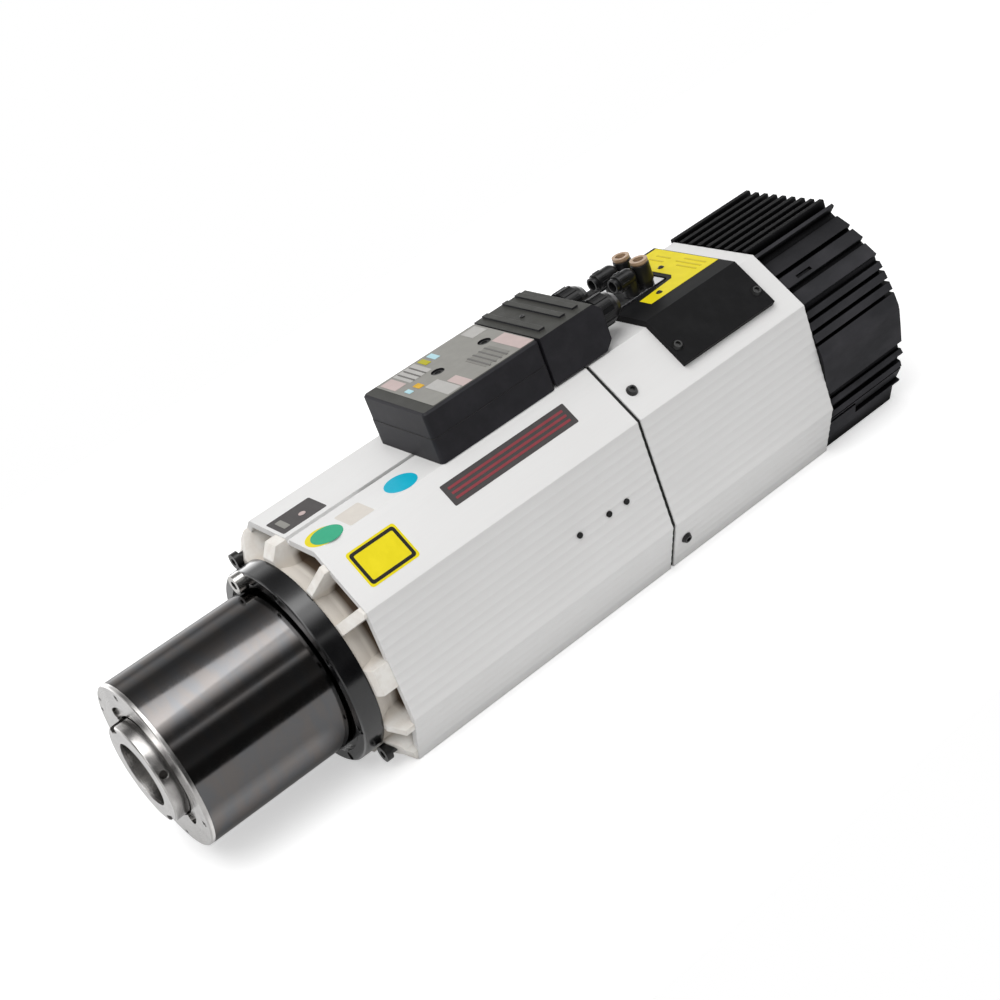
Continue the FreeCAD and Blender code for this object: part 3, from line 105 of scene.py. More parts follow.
# Sockets of Blender's mix node: factor, colours A and B and their result, values A and B
MIX_FACTOR = 0
MIX_COLOURS = (6, 7)
MIX_COLOUR_RESULT = 2
MIX_VALUES = (2, 3)

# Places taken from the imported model
cover_low, cover_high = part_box("front_cover")
plate_low, plate_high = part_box("access_plate")
housing_low, housing_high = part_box("connector_housing")

# Right half of the covers' section: corners of the upper slope and of the flank
TOP_CORNER = Vector((44.0 * MM, 0, cover_high.z))
SIDE_CORNER = Vector((cover_high.x, 0, 52.7 * MM))
COVER_START = cover_low.y


def new_material(name, colour, metallic=0.0, roughness=0.5, gloss=0.5):
    material = bpy.data.materials.new(name)
    material.use_nodes = True
    shader = material.node_tree.nodes["Principled BSDF"]
    shader.inputs["Base Color"].default_value = (*colour, 1.0)
    shader.inputs["Metallic"].default_value = metallic
    shader.inputs["Roughness"].default_value = roughness
    shader.inputs["Specular IOR Level"].default_value = gloss
    return material


def node(material, kind, **settings):
    """New node in the tree of a material or of the world."""
    made = material.node_tree.nodes.new(kind)
    for key, value in settings.items():
        setattr(made, key, value)
    return made


def link(material, source, target):
    material.node_tree.links.new(source, target)


def supply(material, value, socket):
    """Give a socket a value, or the output of another node."""
    if isinstance(value, bpy.types.NodeSocket):
        link(material, value, socket)
    else:
        socket.default_value = value


def principled(material):
    return material.node_tree.nodes["Principled BSDF"]


def feed(material, name, value):
    """Link another node's output to a socket of the material's own shader."""
    link(material, value, principled(material).inputs[name])


def place(material, scale=(1.0, 1.0, 1.0)):
    """Object coordinates in metres, stretched by scale."""
    coordinates = node(material, "ShaderNodeTexCoord")
    mapping = node(material, "ShaderNodeMapping")
    mapping.inputs["Scale"].default_value = scale
    link(material, coordinates.outputs["Object"], mapping.inputs["Vector"])
    return mapping.outputs["Vector"]


def noise(material, size, stretch=(1.0, 1.0, 1.0), detail=3.0, rough=0.55):
    """Noise whose features are about size metres across."""
    texture = node(material, "ShaderNodeTexNoise")
    texture.inputs["Scale"].default_value = 1.0 / size
    texture.inputs["Detail"].default_value = detail
    texture.inputs["Roughness"].default_value = rough
    link(material, place(material, stretch), texture.inputs["Vector"])
    return texture.outputs["Fac"]


def spread(material, value, low, high, to_low=0.0, to_high=1.0):
    """Value from low to high, spread over to_low to to_high and held there."""
    ranged = node(material, "ShaderNodeMapRange", clamp=True)
    ranged.inputs["From Min"].default_value = low
    ranged.inputs["From Max"].default_value = high
    ranged.inputs["To Min"].default_value = to_low
    ranged.inputs["To Max"].default_value = to_high
    link(material, value, ranged.inputs["Value"])
    return ranged.outputs["Result"]


def blend_colour(material, factor, first, second):
    """Colour between first and second, each a colour or another node's output."""
    mixed = node(material, "ShaderNodeMix", data_type="RGBA")
    link(material, factor, mixed.inputs[MIX_FACTOR])
    for value, socket in zip((first, second), MIX_COLOURS):
        if not isinstance(value, bpy.types.NodeSocket):
            value = (*value, 1.0)
        supply(material, value, mixed.inputs[socket])
    return mixed.outputs[MIX_COLOUR_RESULT]


def blend_value(material, factor, first, second):
    """Number between first and second, each a number or another node's output."""
    mixed = node(material, "ShaderNodeMix")
    link(material, factor, mixed.inputs[MIX_FACTOR])
    for value, socket in zip((first, second), MIX_VALUES):
        supply(material, value, mixed.inputs[socket])
    return mixed.outputs[0]


def calculate(material, operation, first, second=None):
    made = node(material, "ShaderNodeMath", operation=operation)
    supply(material, first, made.inputs[0])
    if second is not None:
        supply(material, second, made.inputs[1])
    return made.outputs[0]


def separate_place(material):
    coordinates = node(material, "ShaderNodeTexCoord")
    parts = node(material, "ShaderNodeSeparateXYZ")
    link(material, coordinates.outputs["Object"], parts.inputs[0])
    return parts


def axis_distance(material):
    """Distance from the spindle axis, in metres."""
    parts = separate_place(material)
    across = calculate(material, "MULTIPLY", parts.outputs["X"], parts.outputs["X"])
    upward = calculate(material, "MULTIPLY", parts.outputs["Z"], parts.outputs["Z"])
    return calculate(material, "SQRT", calculate(material, "ADD", across, upward))


def hollow_shade(material, reach, dark_below, clear_above):
    """1 in hollows that see little of what lies within reach, 0 on open faces."""
    shade = node(material, "ShaderNodeAmbientOcclusion", samples=8)
    shade.inputs["Distance"].default_value = reach
    return spread(material, shade.outputs["AO"], dark_below, clear_above, 1.0, 0.0)


def facing_up(material):
    """1 on what faces up, 0 on slopes and sides."""
    facing = node(material, "ShaderNodeSeparateXYZ")
    link(material, node(material, "ShaderNodeTexCoord").outputs["Normal"], facing.inputs[0])
    return spread(material, facing.outputs["Z"], 0.8, 0.95)


def line_noise(material, value, size):
    """Noise that only changes with value: fine turning or grinding lines."""
    texture = node(material, "ShaderNodeTexNoise", noise_dimensions="1D")
    texture.inputs["Scale"].default_value = 1.0 / size
    texture.inputs["Detail"].default_value = 2.0
    link(material, value, texture.inputs["W"])
    return texture.outputs["Fac"]


def finish_surface(material, height=None, depth=0.0, edge=0.0):
    """Surface relief of a depth in metres, over edges rounded by a radius in metres."""
    normal = None
    if edge > 0:
        rounded = node(material, "ShaderNodeBevel", samples=6)
        rounded.inputs["Radius"].default_value = edge
        normal = rounded.outputs["Normal"]
    if height is not None:
        relief = node(material, "ShaderNodeBump")
        relief.inputs["Strength"].default_value = 1.0
        relief.inputs["Distance"].default_value = depth
        link(material, height, relief.inputs["Height"])
        if normal is not None:
            link(material, normal, relief.inputs["Normal"])
        normal = relief.outputs["Normal"]
    if normal is not None:
        feed(material, "Normal", normal)


def white_coat():
    """Satin white coat on extruded aluminium."""
    material = new_material("white_coat", (0.74, 0.735, 0.728), 0.0, 0.45, 0.16)
    lines = noise(material, 1.6 * MM, (1.0, 0.02, 1.0))
    patches = noise(material, 60 * MM, (1.0, 0.4, 1.0))
    tone = blend_colour(material, spread(material, patches, 0.35, 0.65),
                        (0.725, 0.719, 0.712), (0.755, 0.750, 0.744))
    tone = blend_colour(material, spread(material, lines, 0.3, 0.75, 0.0, 0.12), tone, (0.64, 0.64, 0.64))
    feed(material, "Base Color", tone)
    feed(material, "Roughness", spread(material, patches, 0.3, 0.7, 0.40, 0.50))
    grain = noise(material, 0.7 * MM, detail=2.0)
    finish_surface(material, grain, 0.008 * MM, 0.6 * MM)
    return material


def cast_metal():
    """Pale coated casting: fine sand grain, a warmer tone on the low pocket floors, and painted brown shade
    deep in the pockets and under the cover's edge.
    """
    material = new_material("cast_metal", (0.72, 0.69, 0.64), 0.0, 0.5, 0.25)
    corners = hollow_shade(material, 9 * MM, 0.02, 0.30)
    low_ground = spread(material, axis_distance(material), 74 * MM, 79 * MM, 1.0, 0.0)
    parts = separate_place(material)
    near_cover = spread(material, parts.outputs["Y"], COVER_START - 1.0 * MM, COVER_START + 4.5 * MM)
    shadowed = calculate(material, "MULTIPLY", low_ground, near_cover)
    # Painted shade: dark brown in the hollows and on the low floor just in front of the cover's edge
    painted_shade = calculate(material, "MAXIMUM", corners, shadowed)
    patches = noise(material, 9 * MM)
    clean = blend_colour(material, spread(material, patches, 0.35, 0.65),
                         (0.74, 0.70, 0.65), (0.83, 0.81, 0.77))
    # Warmer, slightly darker tone on the low pocket floors
    low_floor_tone = blend_colour(material, low_ground, clean, (0.76, 0.71, 0.645))
    tone = blend_colour(material, painted_shade, low_floor_tone, (0.11, 0.075, 0.05))
    feed(material, "Base Color", tone)
    grain = noise(material, 0.9 * MM, detail=4.0)
    finish_surface(material, grain, 0.07 * MM, 0.9 * MM)
    return material


def black_ground_steel():
    """Ground and blackened nose cylinder: uneven gloss, faint blue and brown temper tints."""
    material = new_material("black_ground_steel", (0.11, 0.105, 0.105), 1.0, 0.12)
    principled(material).inputs["Specular Tint"].default_value = (0.40, 0.40, 0.40, 1.0)
    patches = noise(material, 15 * MM, (0.55, 1.5, 0.55), 4.0)
    tint = blend_colour(material, spread(material, patches, 0.40, 0.62),
                        (0.1135, 0.106, 0.1025), (0.1025, 0.1035, 0.107))
    feed(material, "Base Color", tint)
    smears = noise(material, 7 * MM, (0.5, 1.0, 0.5), 5.0)
    feed(material, "Roughness", spread(material, smears, 0.3, 0.7, 0.09, 0.14))
    parts = separate_place(material)
    finish_surface(material, line_noise(material, parts.outputs["Y"], 0.5 * MM), 0.0008 * MM, 0.5 * MM)
    return material


def bright_steel():
    """Bright turned steel with fine rings round the axis."""
    material = new_material("bright_steel", (0.40, 0.39, 0.385), 1.0, 0.24)
    rings = line_noise(material, axis_distance(material), 0.45 * MM)
    patches = noise(material, 11 * MM, detail=4.0)
    tone = blend_colour(material, spread(material, patches, 0.35, 0.65),
                        (0.36, 0.35, 0.345), (0.44, 0.43, 0.42))
    # Painted shade: the colour goes nearly black in the bore and other hollows
    tone = blend_colour(material, hollow_shade(material, 45 * MM, 0.12, 0.5), tone, (0.05, 0.045, 0.04))
    feed(material, "Base Color", tone)
    feed(material, "Roughness", spread(material, rings, 0.3, 0.7, 0.18, 0.33))
    finish_surface(material, rings, 0.004 * MM, 0.45 * MM)
    return material


def plain_metal(name, colour, roughness, size=4 * MM, edge=0.35 * MM):
    """Machined metal with a faint uneven sheen."""
    material = new_material(name, colour, 1.0, roughness)
    patches = noise(material, size, detail=4.0)
    darker = [0.86 * channel for channel in colour]
    tone = blend_colour(material, spread(material, patches, 0.35, 0.65), darker, colour)
    feed(material, "Base Color", tone)
    rough = spread(material, patches, 0.3, 0.7, roughness * 0.85, roughness * 1.2)
    feed(material, "Roughness", rough)
    finish_surface(material, noise(material, 0.6 * MM), 0.006 * MM, edge)
    return material


def black_oxide(name, colour, roughness):
    """Dark oxide finish, a little worn to grey in patches."""
    material = new_material(name, colour, 1.0, roughness)
    patches = noise(material, 6 * MM, detail=6.0, rough=0.65)
    worn = [channel * 1.9 for channel in colour]
    tone = blend_colour(material, spread(material, patches, 0.5, 0.78), colour, worn)
    feed(material, "Base Color", tone)
    feed(material, "Roughness", spread(material, patches, 0.3, 0.75, roughness, roughness * 0.75))
    finish_surface(material, noise(material, 0.5 * MM), 0.008 * MM, 0.4 * MM)
    return material


def moulded(name, colour, roughness, gloss, grain_size=0.6 * MM, grain_depth=0.02 * MM, edge=0.6 * MM,
            painted_top_light=None):
    """Moulded or coated dark surface with a fine grain and slight dusting, and optional painted top light:
    a lighter colour on what faces up.
    """
    material = new_material(name, colour, 0.0, roughness, gloss)
    dust = noise(material, 14 * MM, detail=5.0, rough=0.6)
    lighter = [channel * 1.4 + 0.002 for channel in colour]
    tone = blend_colour(material, spread(material, dust, 0.42, 0.75), colour, lighter)
    # Painted top light: what faces up takes a lighter colour
    if painted_top_light is not None:
        tone = blend_colour(material, facing_up(material), tone, painted_top_light)
    feed(material, "Base Color", tone)
    feed(material, "Roughness", spread(material, dust, 0.3, 0.7, roughness * 0.9, roughness * 1.1))
    finish_surface(material, noise(material, grain_size, detail=2.0), grain_depth, edge)
    return material


def anodised_black():
    """Black anodised extrusion with faint lines along its length, dull; painted shade makes it darker where
    it faces up and nearly black in the valleys.
    """
    material = new_material("anodised_black", (0.045, 0.045, 0.048), 0.0, 0.42, 0.02)
    lines = noise(material, 0.8 * MM, (1.0, 0.015, 1.0))
    patches = noise(material, 22 * MM, (1.0, 0.5, 1.0), 4.0)
    tone = blend_colour(material, spread(material, patches, 0.4, 0.7),
                        (0.034, 0.034, 0.037), (0.052, 0.051, 0.056))
    # Painted shade: what faces up is painted darker
    tone = blend_colour(material, facing_up(material), tone, (0.010, 0.010, 0.0105))
    # Painted shade: nearly black in the valleys between the fins
    valley = hollow_shade(material, 13 * MM, 0.45, 0.93)
    tone = blend_colour(material, valley, tone, (0.0015, 0.0015, 0.0015))
    feed(material, "Base Color", tone)
    feed(material, "Roughness", spread(material, lines, 0.3, 0.7, 0.36, 0.5))
    finish_surface(material, lines, 0.012 * MM, 0.5 * MM)
    return material


def printed_sheet(name, colour, roughness=0.4):
    """Printed label film, very slightly uneven."""
    material = new_material(name, colour, 0.0, roughness, 0.1)
    wear = noise(material, 8 * MM, detail=5.0)
    faded = [min(channel * 1.06 + 0.004, 1.0) for channel in colour]
    tone = blend_colour(material, spread(material, wear, 0.4, 0.7), colour, faded)
    feed(material, "Base Color", tone)
    finish_surface(material, noise(material, 1.5 * MM), 0.01 * MM)
    return material


def wound_copper():
    """Varnished wire: fine turns round the axis."""
    material = new_material("wound_copper", (0.62, 0.24, 0.10), 1.0, 0.35)
    wave = noise(material, 1.4 * MM, (0.35, 1.0, 0.35))
    tone = blend_colour(material, spread(material, wave, 0.35, 0.65),
                        (0.36, 0.12, 0.05), (0.70, 0.30, 0.13))
    feed(material, "Base Color", tone)
    finish_surface(material, wave, 0.3 * MM)
    return material


def laminations():
    """Stacked electrical sheet: fine lines across the axis."""
    material = new_material("laminations", (0.24, 0.24, 0.25), 1.0, 0.45)
    parts = separate_place(material)
    lines = line_noise(material, parts.outputs["Y"], 0.5 * MM)
    tone = blend_colour(material, spread(material, lines, 0.35, 0.65),
                        (0.12, 0.12, 0.13), (0.30, 0.30, 0.31))
    feed(material, "Base Color", tone)
    finish_surface(material, lines, 0.05 * MM)
    return material


looks = {
    "blackened_steel": black_ground_steel(),
    "ground_steel": bright_steel(),
    "bearing_steel": plain_metal("bearing_steel", (0.42, 0.42, 0.41), 0.22),
    "spring_steel": plain_metal("spring_steel", (0.28, 0.28, 0.29), 0.35),
    "lamination_steel": laminations(),
    "copper_windings": wound_copper(),
    "black_flange": moulded("black_flange", (0.002, 0.002, 0.0025), 0.16, 0.60,
                            0.5 * MM, 0.003 * MM, 0.8 * MM),
    "black_screws": moulded("black_screws", (0.010, 0.010, 0.010), 0.3, 0.35,
                            0.4 * MM, 0.004 * MM, 0.3 * MM),
    "dark_steel_screws": black_oxide("dark_steel_screws", (0.022, 0.022, 0.022), 0.34),
    "nickel_plate": plain_metal("nickel_plate", (0.50, 0.49, 0.47), 0.24),
    "casting_metal": cast_metal(),
    "white_coated_aluminium": white_coat(),
    "plain_aluminium": plain_metal("plain_aluminium", (0.72, 0.72, 0.73), 0.32),
    "black_anodised": anodised_black(),
    "black_plate": moulded("black_plate", (0.008, 0.008, 0.0085), 0.45, 0.05,
                           0.9 * MM, 0.012 * MM, 0.4 * MM),
    # The connector's top is painted lighter: painted light from above
    "connector_black": moulded("connector_black", (0.015, 0.0145, 0.0175), 0.50, 0.18,
                               painted_top_light=(0.036, 0.036, 0.032)),
    "black_plastic": moulded("black_plastic", (0.009, 0.009, 0.0095), 0.32, 0.3,
                             0.5 * MM, 0.012 * MM, 0.5 * MM),
    "ball_cage": moulded("ball_cage", (0.36, 0.22, 0.10), 0.45, 0.4),
    "tan_plastic": moulded("tan_plastic", (0.37, 0.25, 0.16), 0.25, 0.5, 0.5 * MM, 0.008 * MM, 0.6 * MM),
    "black_rubber": moulded("black_rubber", (0.010, 0.010, 0.010), 0.6, 0.2),
}

for subpart in frame["record"]["subparts"]:
    mesh = frame["nodes"][subpart["node"]].data
    mesh.materials.clear()
    mesh.materials.append(looks[subpart["material_slot"]])

label_looks = {
    "yellow": printed_sheet("label_yellow", (0.74, 0.62, 0.012)),
    "dark": printed_sheet("label_dark", (0.060, 0.055, 0.055)),
    "black": printed_sheet("label_black", (0.012, 0.012, 0.011)),
    "green": printed_sheet("label_green", (0.03, 0.36, 0.20)),
    "blue": printed_sheet("label_blue", (0.002, 0.40, 0.56)),
    "red": printed_sheet("label_red", (0.23, 0.045, 0.055)),
    "pale": printed_sheet("label_pale", (0.64, 0.60, 0.55)),
    "grey": printed_sheet("label_grey", (0.25, 0.245, 0.226)),
    "mid_grey": printed_sheet("label_mid_grey", (0.20, 0.195, 0.18)),
    "rule": printed_sheet("label_rule", (0.13, 0.127, 0.12)),
    "light_grey": printed_sheet("label_light_grey", (0.42, 0.41, 0.395)),
    "pink": printed_sheet("label_pink", (0.50, 0.40, 0.385)),
    "amber": printed_sheet("label_amber", (0.62, 0.36, 0.02)),
    "olive": printed_sheet("label_olive", (0.42, 0.38, 0.01)),
    "sky": printed_sheet("label_sky", (0.42, 0.64, 0.70)),
    "straw": printed_sheet("label_straw", (0.58, 0.46, 0.015)),
}


def rounded_outline(length, width, radius, steps=6):
    """Corners of a rounded rectangle about its middle."""
    points = []
    centres = ((1, 1, 0), (-1, 1, 90), (-1, -1, 180), (1, -1, 270))
    for side, rise, start in centres:
        for step in range(steps + 1):
            angle = math.radians(start + 90 * step / steps)
            points.append((side * (length / 2 - radius) + radius * math.cos(angle),
                           rise * (width / 2 - radius) + radius * math.sin(angle)))
    return points


def circle_outline(radius, steps=48):
    return [(radius * math.cos(2 * math.pi * step / steps), radius * math.sin(2 * math.pi * step / steps))
            for step in range(steps)]


def slab(name, outline, thickness, matrix, material, body="housing", holes=()):
    """Thin piece of an outline in its own plane, standing up from matrix's XY plane."""
    mesh = bmesh.new()
    edges = []
    for loop in (outline, *holes):
        corners = [mesh.verts.new((x, y, 0)) for x, y in loop]
        for index, corner in enumerate(corners):
            edges.append(mesh.edges.new((corner, corners[(index + 1) % len(corners)])))
    bmesh.ops.triangle_fill(mesh, use_beauty=True, edges=edges, normal=(0, 0, 1))
    faces = list(mesh.faces)
    raised = bmesh.ops.extrude_face_region(mesh, geom=faces)
    moved = [item for item in raised["geom"] if isinstance(item, bmesh.types.BMVert)]
    bmesh.ops.translate(mesh, verts=moved, vec=(0, 0, thickness))
    bmesh.ops.recalc_face_normals(mesh, faces=list(mesh.faces))
    data = bpy.data.meshes.new(name)
    mesh.to_mesh(data)
    mesh.free()
    data.transform(matrix)
    made = bpy.data.objects.new(name, data)
    bpy.context.scene.collection.objects.link(made)
    data.materials.append(material)
    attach(made, body)
    return made


def plane_at(origin, along, across):
    """Frame of a surface: its X runs along, its Y across and its Z out of it."""
    along = Vector(along).normalized()
    across = Vector(across).normalized()
    outward = along.cross(across)
    matrix = Matrix((along, across, outward)).transposed().to_4x4()
    matrix.translation = Vector(origin)
    return matrix


def on_top(x, y, height):
    """Surface frame on a level top: X to the right, Y towards the fan."""
    return plane_at((x, y, height), (1, 0, 0), (0, 1, 0))


def on_slope(drop, y):
    """Surface frame on the right upper slope, drop metres down it: X down the slope, Y towards the fan."""
    down = (SIDE_CORNER - TOP_CORNER).normalized()
    return plane_at(TOP_CORNER + down * drop + Vector((0, y, 0)), down, (0, 1, 0))


def top_labels():
    """Discs, a pale sheet and a dark plate on the front cover's top."""
    top = cover_high.z
    front = COVER_START
    slab("label_disc_yellow", circle_outline(12.2 * MM), LABEL, on_top(33.0 * MM, front + 14.0 * MM, top),
         label_looks["yellow"])
    slab("label_disc_green", circle_outline(11.4 * MM), FIELD_LEVEL * LABEL,
         on_top(34.6 * MM, front + 16.6 * MM, top), label_looks["green"])
    slab("label_disc_blue", circle_outline(12.0 * MM), LABEL, on_top(32.2 * MM, front + 80.0 * MM, top),
         label_looks["blue"])
    slab("label_pale", rounded_outline(22 * MM, 20 * MM, 1.5 * MM), LABEL / 2,
         on_top(32 * MM, front + 41 * MM, top), label_looks["pale"])
    black = slab("label_dark_plate", rounded_outline(25 * MM, 36 * MM, 1.5 * MM), LABEL,
                 on_top(-11.5 * MM, front + 20.5 * MM, top), label_looks["dark"])
    slab("label_dark_plate_dot", circle_outline(2.6 * MM), FIELD_LEVEL * LABEL,
         on_top(-9.5 * MM, front + 24 * MM, top), label_looks["pink"])
    slab("label_dark_plate_field", rounded_outline(14 * MM, 5 * MM, 0.8 * MM), FIELD_LEVEL * LABEL,
         on_top(-11.5 * MM, front + 9 * MM, top), label_looks["grey"])


def slope_labels():
    """Yellow sheet with a dark frame, and a dark strip with three plain lines."""
    length, width, inset, border = 40 * MM, 29 * MM, 1.6 * MM, 2.4 * MM
    middle = on_slope(28.0 * MM, COVER_START + 34 * MM)
    slab("label_yellow", rounded_outline(width, length, 2.5 * MM), LABEL, middle, label_looks["yellow"])
    opening = rounded_outline(width - 2 * (inset + border), length - 2 * (inset + border), 1.2 * MM)
    slab("label_yellow_frame", rounded_outline(width - 2 * inset, length - 2 * inset, 2.4 * MM),
         FIELD_LEVEL * LABEL, middle, label_looks["black"], holes=[opening])
    strip_drop, line_pitch, strip_middle = 20.3, 4.2, COVER_START + 150 * MM
    slab("label_strip", rounded_outline(17.5 * MM, 110 * MM, 1.0 * MM), LABEL,
         on_slope(strip_drop * MM, strip_middle), label_looks["dark"])
    for index in range(3):
        line = on_slope((strip_drop + line_pitch * (index - 1)) * MM, strip_middle)
        slab("label_strip_line_%d" % index, rounded_outline(1.9 * MM, 102 * MM, 0.4 * MM),
             FIELD_LEVEL * LABEL, line, label_looks["red"])


def patch(name, left, right, start, end, height, level, look, corner=0.4 * MM):
    """Flat printed patch on a level top, between two x and two y places."""
    middle = on_top((left + right) / 2, (start + end) / 2, height)
    slab(name, rounded_outline(right - left, end - start, corner), level * LABEL, middle,
         label_looks[look])


def connector_label():
    """Printed sheet with plain fields, rules and colour chips, open round both screws."""
    top = housing_high.z
    left, right = housing_low.x + 2 * MM, housing_high.x - 3 * MM
    start, end = housing_low.y + 11 * MM, housing_high.y - 0.6 * MM
    middle_x, middle_y = (left + right) / 2, (start + end) / 2
    screw_x, screw_places = 2 * MM, (43.5 * MM, 85.5 * MM)
    screws = [[(x + screw_x - middle_x, y + housing_low.y + back - middle_y)
               for x, y in circle_outline(5 * MM)] for back in screw_places]
    slab("label_connector", rounded_outline(right - left, end - start, 1.2 * MM), LABEL,
         on_top(middle_x, middle_y, top), label_looks["grey"], holes=screws)
    fields = (
        ("field_front", 12, 40, start + 14 * MM, start + 25 * MM, "light_grey"),
        ("field_pink_front", 22, 41.5, start + 26 * MM, start + 34 * MM, "pink"),
        ("field_pink_rear", 8, 41.5, end - 13 * MM, end - 1 * MM, "pink"),
        ("field_rear_left", -27, -12, end - 15 * MM, end - 2 * MM, "light_grey"),
        ("field_front_left", -27, -8, start + 2 * MM, start + 12 * MM, "pink"),
        ("field_middle", 12, 36, end - 40 * MM, end - 18 * MM, "mid_grey"),
        ("field_left", -28, -6, start + 14 * MM, start + 33 * MM, "light_grey"),
    )
    for name, first, last, near, far, look in fields:
        patch("label_" + name, first * MM, last * MM, near, far, top, FIELD_LEVEL, look)
    chips = (
        ("olive", -27, -16, start + 35 * MM, start + 40 * MM, "olive"),
        ("sky", -27, -16, start + 43 * MM, start + 48 * MM, "sky"),
        ("amber", 1, 9, start + 11 * MM, start + 16 * MM, "amber"),
        ("sky_front", 1, 8, start + 3.5 * MM, start + 7.5 * MM, "sky"),
    )
    for name, first, last, near, far, look in chips:
        patch("label_chip_" + name, first * MM, last * MM, near, far, top, MARK_LEVEL, look)
    left_rules = [(-27, -6, near) for near in (17, 22, 27)]
    right_rules = [(11, 38, near) for near in (52, 57, 62, 67)]
    for index, (first, last, near) in enumerate(left_rules + right_rules):
        patch("label_rule_%d" % index, first * MM, last * MM, start + near * MM,
              start + (near + 1.4) * MM, top, MARK_LEVEL, "rule", 0.2 * MM)


def yellow_plate_label():
    """Yellow sheet round the access plate's notch, its right leg cut slanting, with faint plain bars."""
    top = plate_high.z
    front, rear = plate_low.y, plate_high.y - 0.8 * MM
    outline = [(-41 * MM, rear), (-41 * MM, front + 24 * MM), (-39 * MM, front + 24 * MM),
               (-39 * MM, front + 60 * MM), (8.5 * MM, front + 60 * MM), (13 * MM, front + 56 * MM),
               (16 * MM, front + 21 * MM), (29 * MM, front + 21 * MM), (29 * MM, rear)]
    screws = [[(x + side * MM, y + plate_high.y - back * MM) for x, y in circle_outline(2.6 * MM, 24)]
              for side, back in ((-10.4, 23.5), (21.0, 53.7))]
    slab("label_access_plate", outline, LABEL, Matrix.Translation((0, 0, top)), label_looks["yellow"],
         holes=screws)
    bars = ((-2, 22, 6), (-6, 22, 11), (0, 22, 16), (-30, -14, 9), (-32, -16, 15))
    for index, (left, right, back) in enumerate(bars):
        patch("label_plate_bar_%d" % index, left * MM, right * MM, plate_high.y - (back + 1.6) * MM,
              plate_high.y - back * MM, top, FIELD_LEVEL, "straw", 0.3 * MM)


top_labels()
slope_labels()
connector_label()
yellow_plate_label()


def add_camera():
    azimuth, elevation, roll = (math.radians(value) for value in
                                (CAMERA_AZIMUTH, CAMERA_ELEVATION, CAMERA_ROLL))
    back = Vector((math.sin(azimuth) * math.cos(elevation), -math.cos(azimuth) * math.cos(elevation),
                   math.sin(elevation)))
    level = Vector((math.cos(azimuth), math.sin(azimuth), 0))
    upright = back.cross(level)
    right = level * math.cos(roll) + upright * math.sin(roll)
    up = upright * math.cos(roll) - level * math.sin(roll)
    spot = right * CAMERA_RIGHT + up * CAMERA_UP + back * CAMERA_DISTANCE + Vector((0, COVER_START, 0))
    data = bpy.data.cameras.new("camera")
    data.sensor_width = SENSOR_WIDTH
    data.lens = CAMERA_FOCAL_PIXELS / PICTURE_PIXELS * SENSOR_WIDTH
    data.clip_end = CAMERA_REACH
    camera = bpy.data.objects.new("camera", data)
    bpy.context.scene.collection.objects.link(camera)
    turn = Matrix((right, up, back)).transposed().to_4x4()
    turn.translation = spot
    camera.matrix_world = turn
    bpy.context.scene.camera = camera


def add_softbox(name, spot, target, width, height, power):
    data = bpy.data.lights.new(name, "AREA")
    data.shape = "RECTANGLE"
    data.size = width
    data.size_y = height
    data.energy = power
    light = bpy.data.objects.new(name, data)
    bpy.context.scene.collection.objects.link(light)
    direction = Vector(target) - Vector(spot)
    light.rotation_euler = direction.to_track_quat("-Z", "Y").to_euler()
    light.location = spot


def between(material, value, edges):
    """1 between the middle two of four edges, 0 outside the outer two."""
    begins, full, ending, ended = edges
    return calculate(material, "MULTIPLY", spread(material, value, begins, full),
                     spread(material, value, ending, ended, 1.0, 0.0))


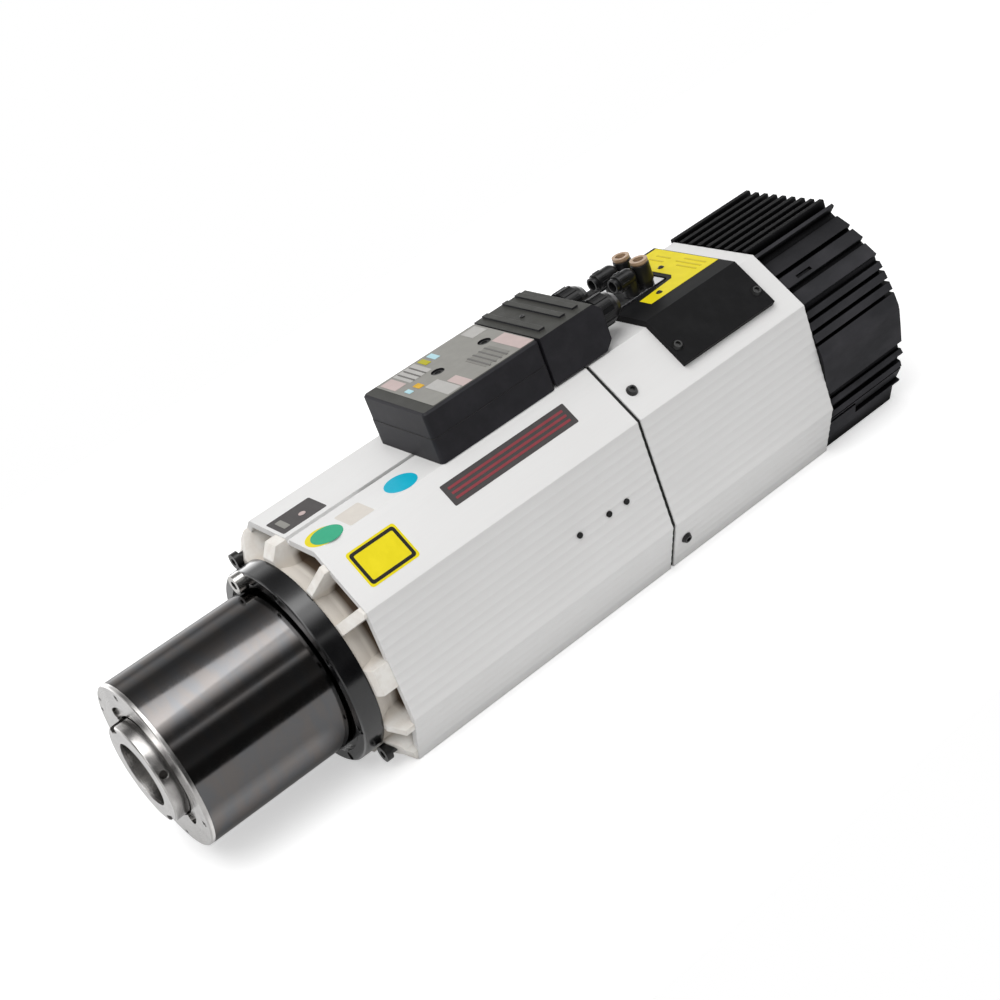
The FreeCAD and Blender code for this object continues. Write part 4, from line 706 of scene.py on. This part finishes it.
def add_floor():
    """White floor for the shadow. Gloss sees it dim, and bright in a sheet below the nose."""
    data = bpy.data.meshes.new("floor")
    left, right, front, rear = FLOOR_EDGES
    floor_height = cad_box[0][2] - FLOOR_GAP
    corners = [(left, front, floor_height), (right, front, floor_height),
               (right, rear, floor_height), (left, rear, floor_height)]
    data.from_pydata(corners, [], [(0, 1, 2, 3)])
    floor = bpy.data.objects.new("floor", data)
    bpy.context.scene.collection.objects.link(floor)
    material = bpy.data.materials.new("floor")
    material.use_nodes = True
    shader = principled(material)
    shader.inputs["Base Color"].default_value = (FLOOR_TONE, FLOOR_TONE, FLOOR_TONE, 1.0)
    shader.inputs["Roughness"].default_value = FLOOR_ROUGHNESS
    glow = node(material, "ShaderNodeEmission")
    seen = node(material, "ShaderNodeLightPath")
    parts = separate_place(material)
    sheet = calculate(material, "MULTIPLY", between(material, parts.outputs["Y"], SHEET_ALONG),
                      between(material, parts.outputs["X"], SHEET_ACROSS))
    in_gloss = calculate(material, "MULTIPLY", seen.outputs["Is Glossy Ray"],
                         spread(material, sheet, 0.0, 1.0, *GLOSS_GLOW))
    direct = calculate(material, "MAXIMUM", seen.outputs["Is Camera Ray"],
                       seen.outputs["Is Transmission Ray"])
    direct = calculate(material, "MULTIPLY", direct, DIRECT_GLOW)
    glow_strength = calculate(material, "MAXIMUM", direct, in_gloss)
    link(material, glow_strength, glow.inputs["Strength"])
    both = node(material, "ShaderNodeAddShader")
    link(material, shader.outputs[0], both.inputs[0])
    link(material, glow.outputs[0], both.inputs[1])
    link(material, both.outputs[0], material.node_tree.nodes["Material Output"].inputs["Surface"])
    data.materials.append(material)


def add_world():
    """White to the camera, a studio of long pale panels to gloss, an even dim light otherwise."""
    world = bpy.data.worlds.new("studio")
    world.use_nodes = True
    bpy.context.scene.world = world
    background = world.node_tree.nodes["Background"]
    background.inputs["Color"].default_value = (1, 1, 1, 1)
    seen = node(world, "ShaderNodeLightPath")
    parts = node(world, "ShaderNodeSeparateXYZ")
    link(world, node(world, "ShaderNodeTexCoord").outputs["Generated"], parts.inputs[0])
    angle = calculate(world, "ARCTAN2", parts.outputs["Z"], parts.outputs["X"])
    ramp = node(world, "ShaderNodeValToRGB")
    link(world, spread(world, angle, -math.pi, math.pi), ramp.inputs["Fac"])
    points = ramp.color_ramp.elements
    while len(points) > 1:
        points.remove(points[-1])
    for index, (degrees, value) in enumerate(STUDIO_PANELS):
        where = (degrees + 180.0) / 360.0
        element = points[0] if index == 0 else points.new(where)
        element.position = where
        element.color = (value, value, value, 1.0)
    panels = calculate(world, "MULTIPLY", ramp.outputs["Color"], STUDIO_STRENGTH)
    lit = blend_value(world, seen.outputs["Is Glossy Ray"], AMBIENT_STRENGTH, panels)
    direct = calculate(world, "MAXIMUM", seen.outputs["Is Camera Ray"], seen.outputs["Is Transmission Ray"])
    link(world, blend_value(world, direct, lit, 1.0), background.inputs["Strength"])
    link(world, background.outputs[0], world.node_tree.nodes["World Output"].inputs["Surface"])


add_camera()
add_world()
add_floor()
add_softbox("key", *KEY_LIGHT)
add_softbox("fill", *FILL_LIGHT)

scene = bpy.context.scene
scene.view_settings.view_transform = "Standard"
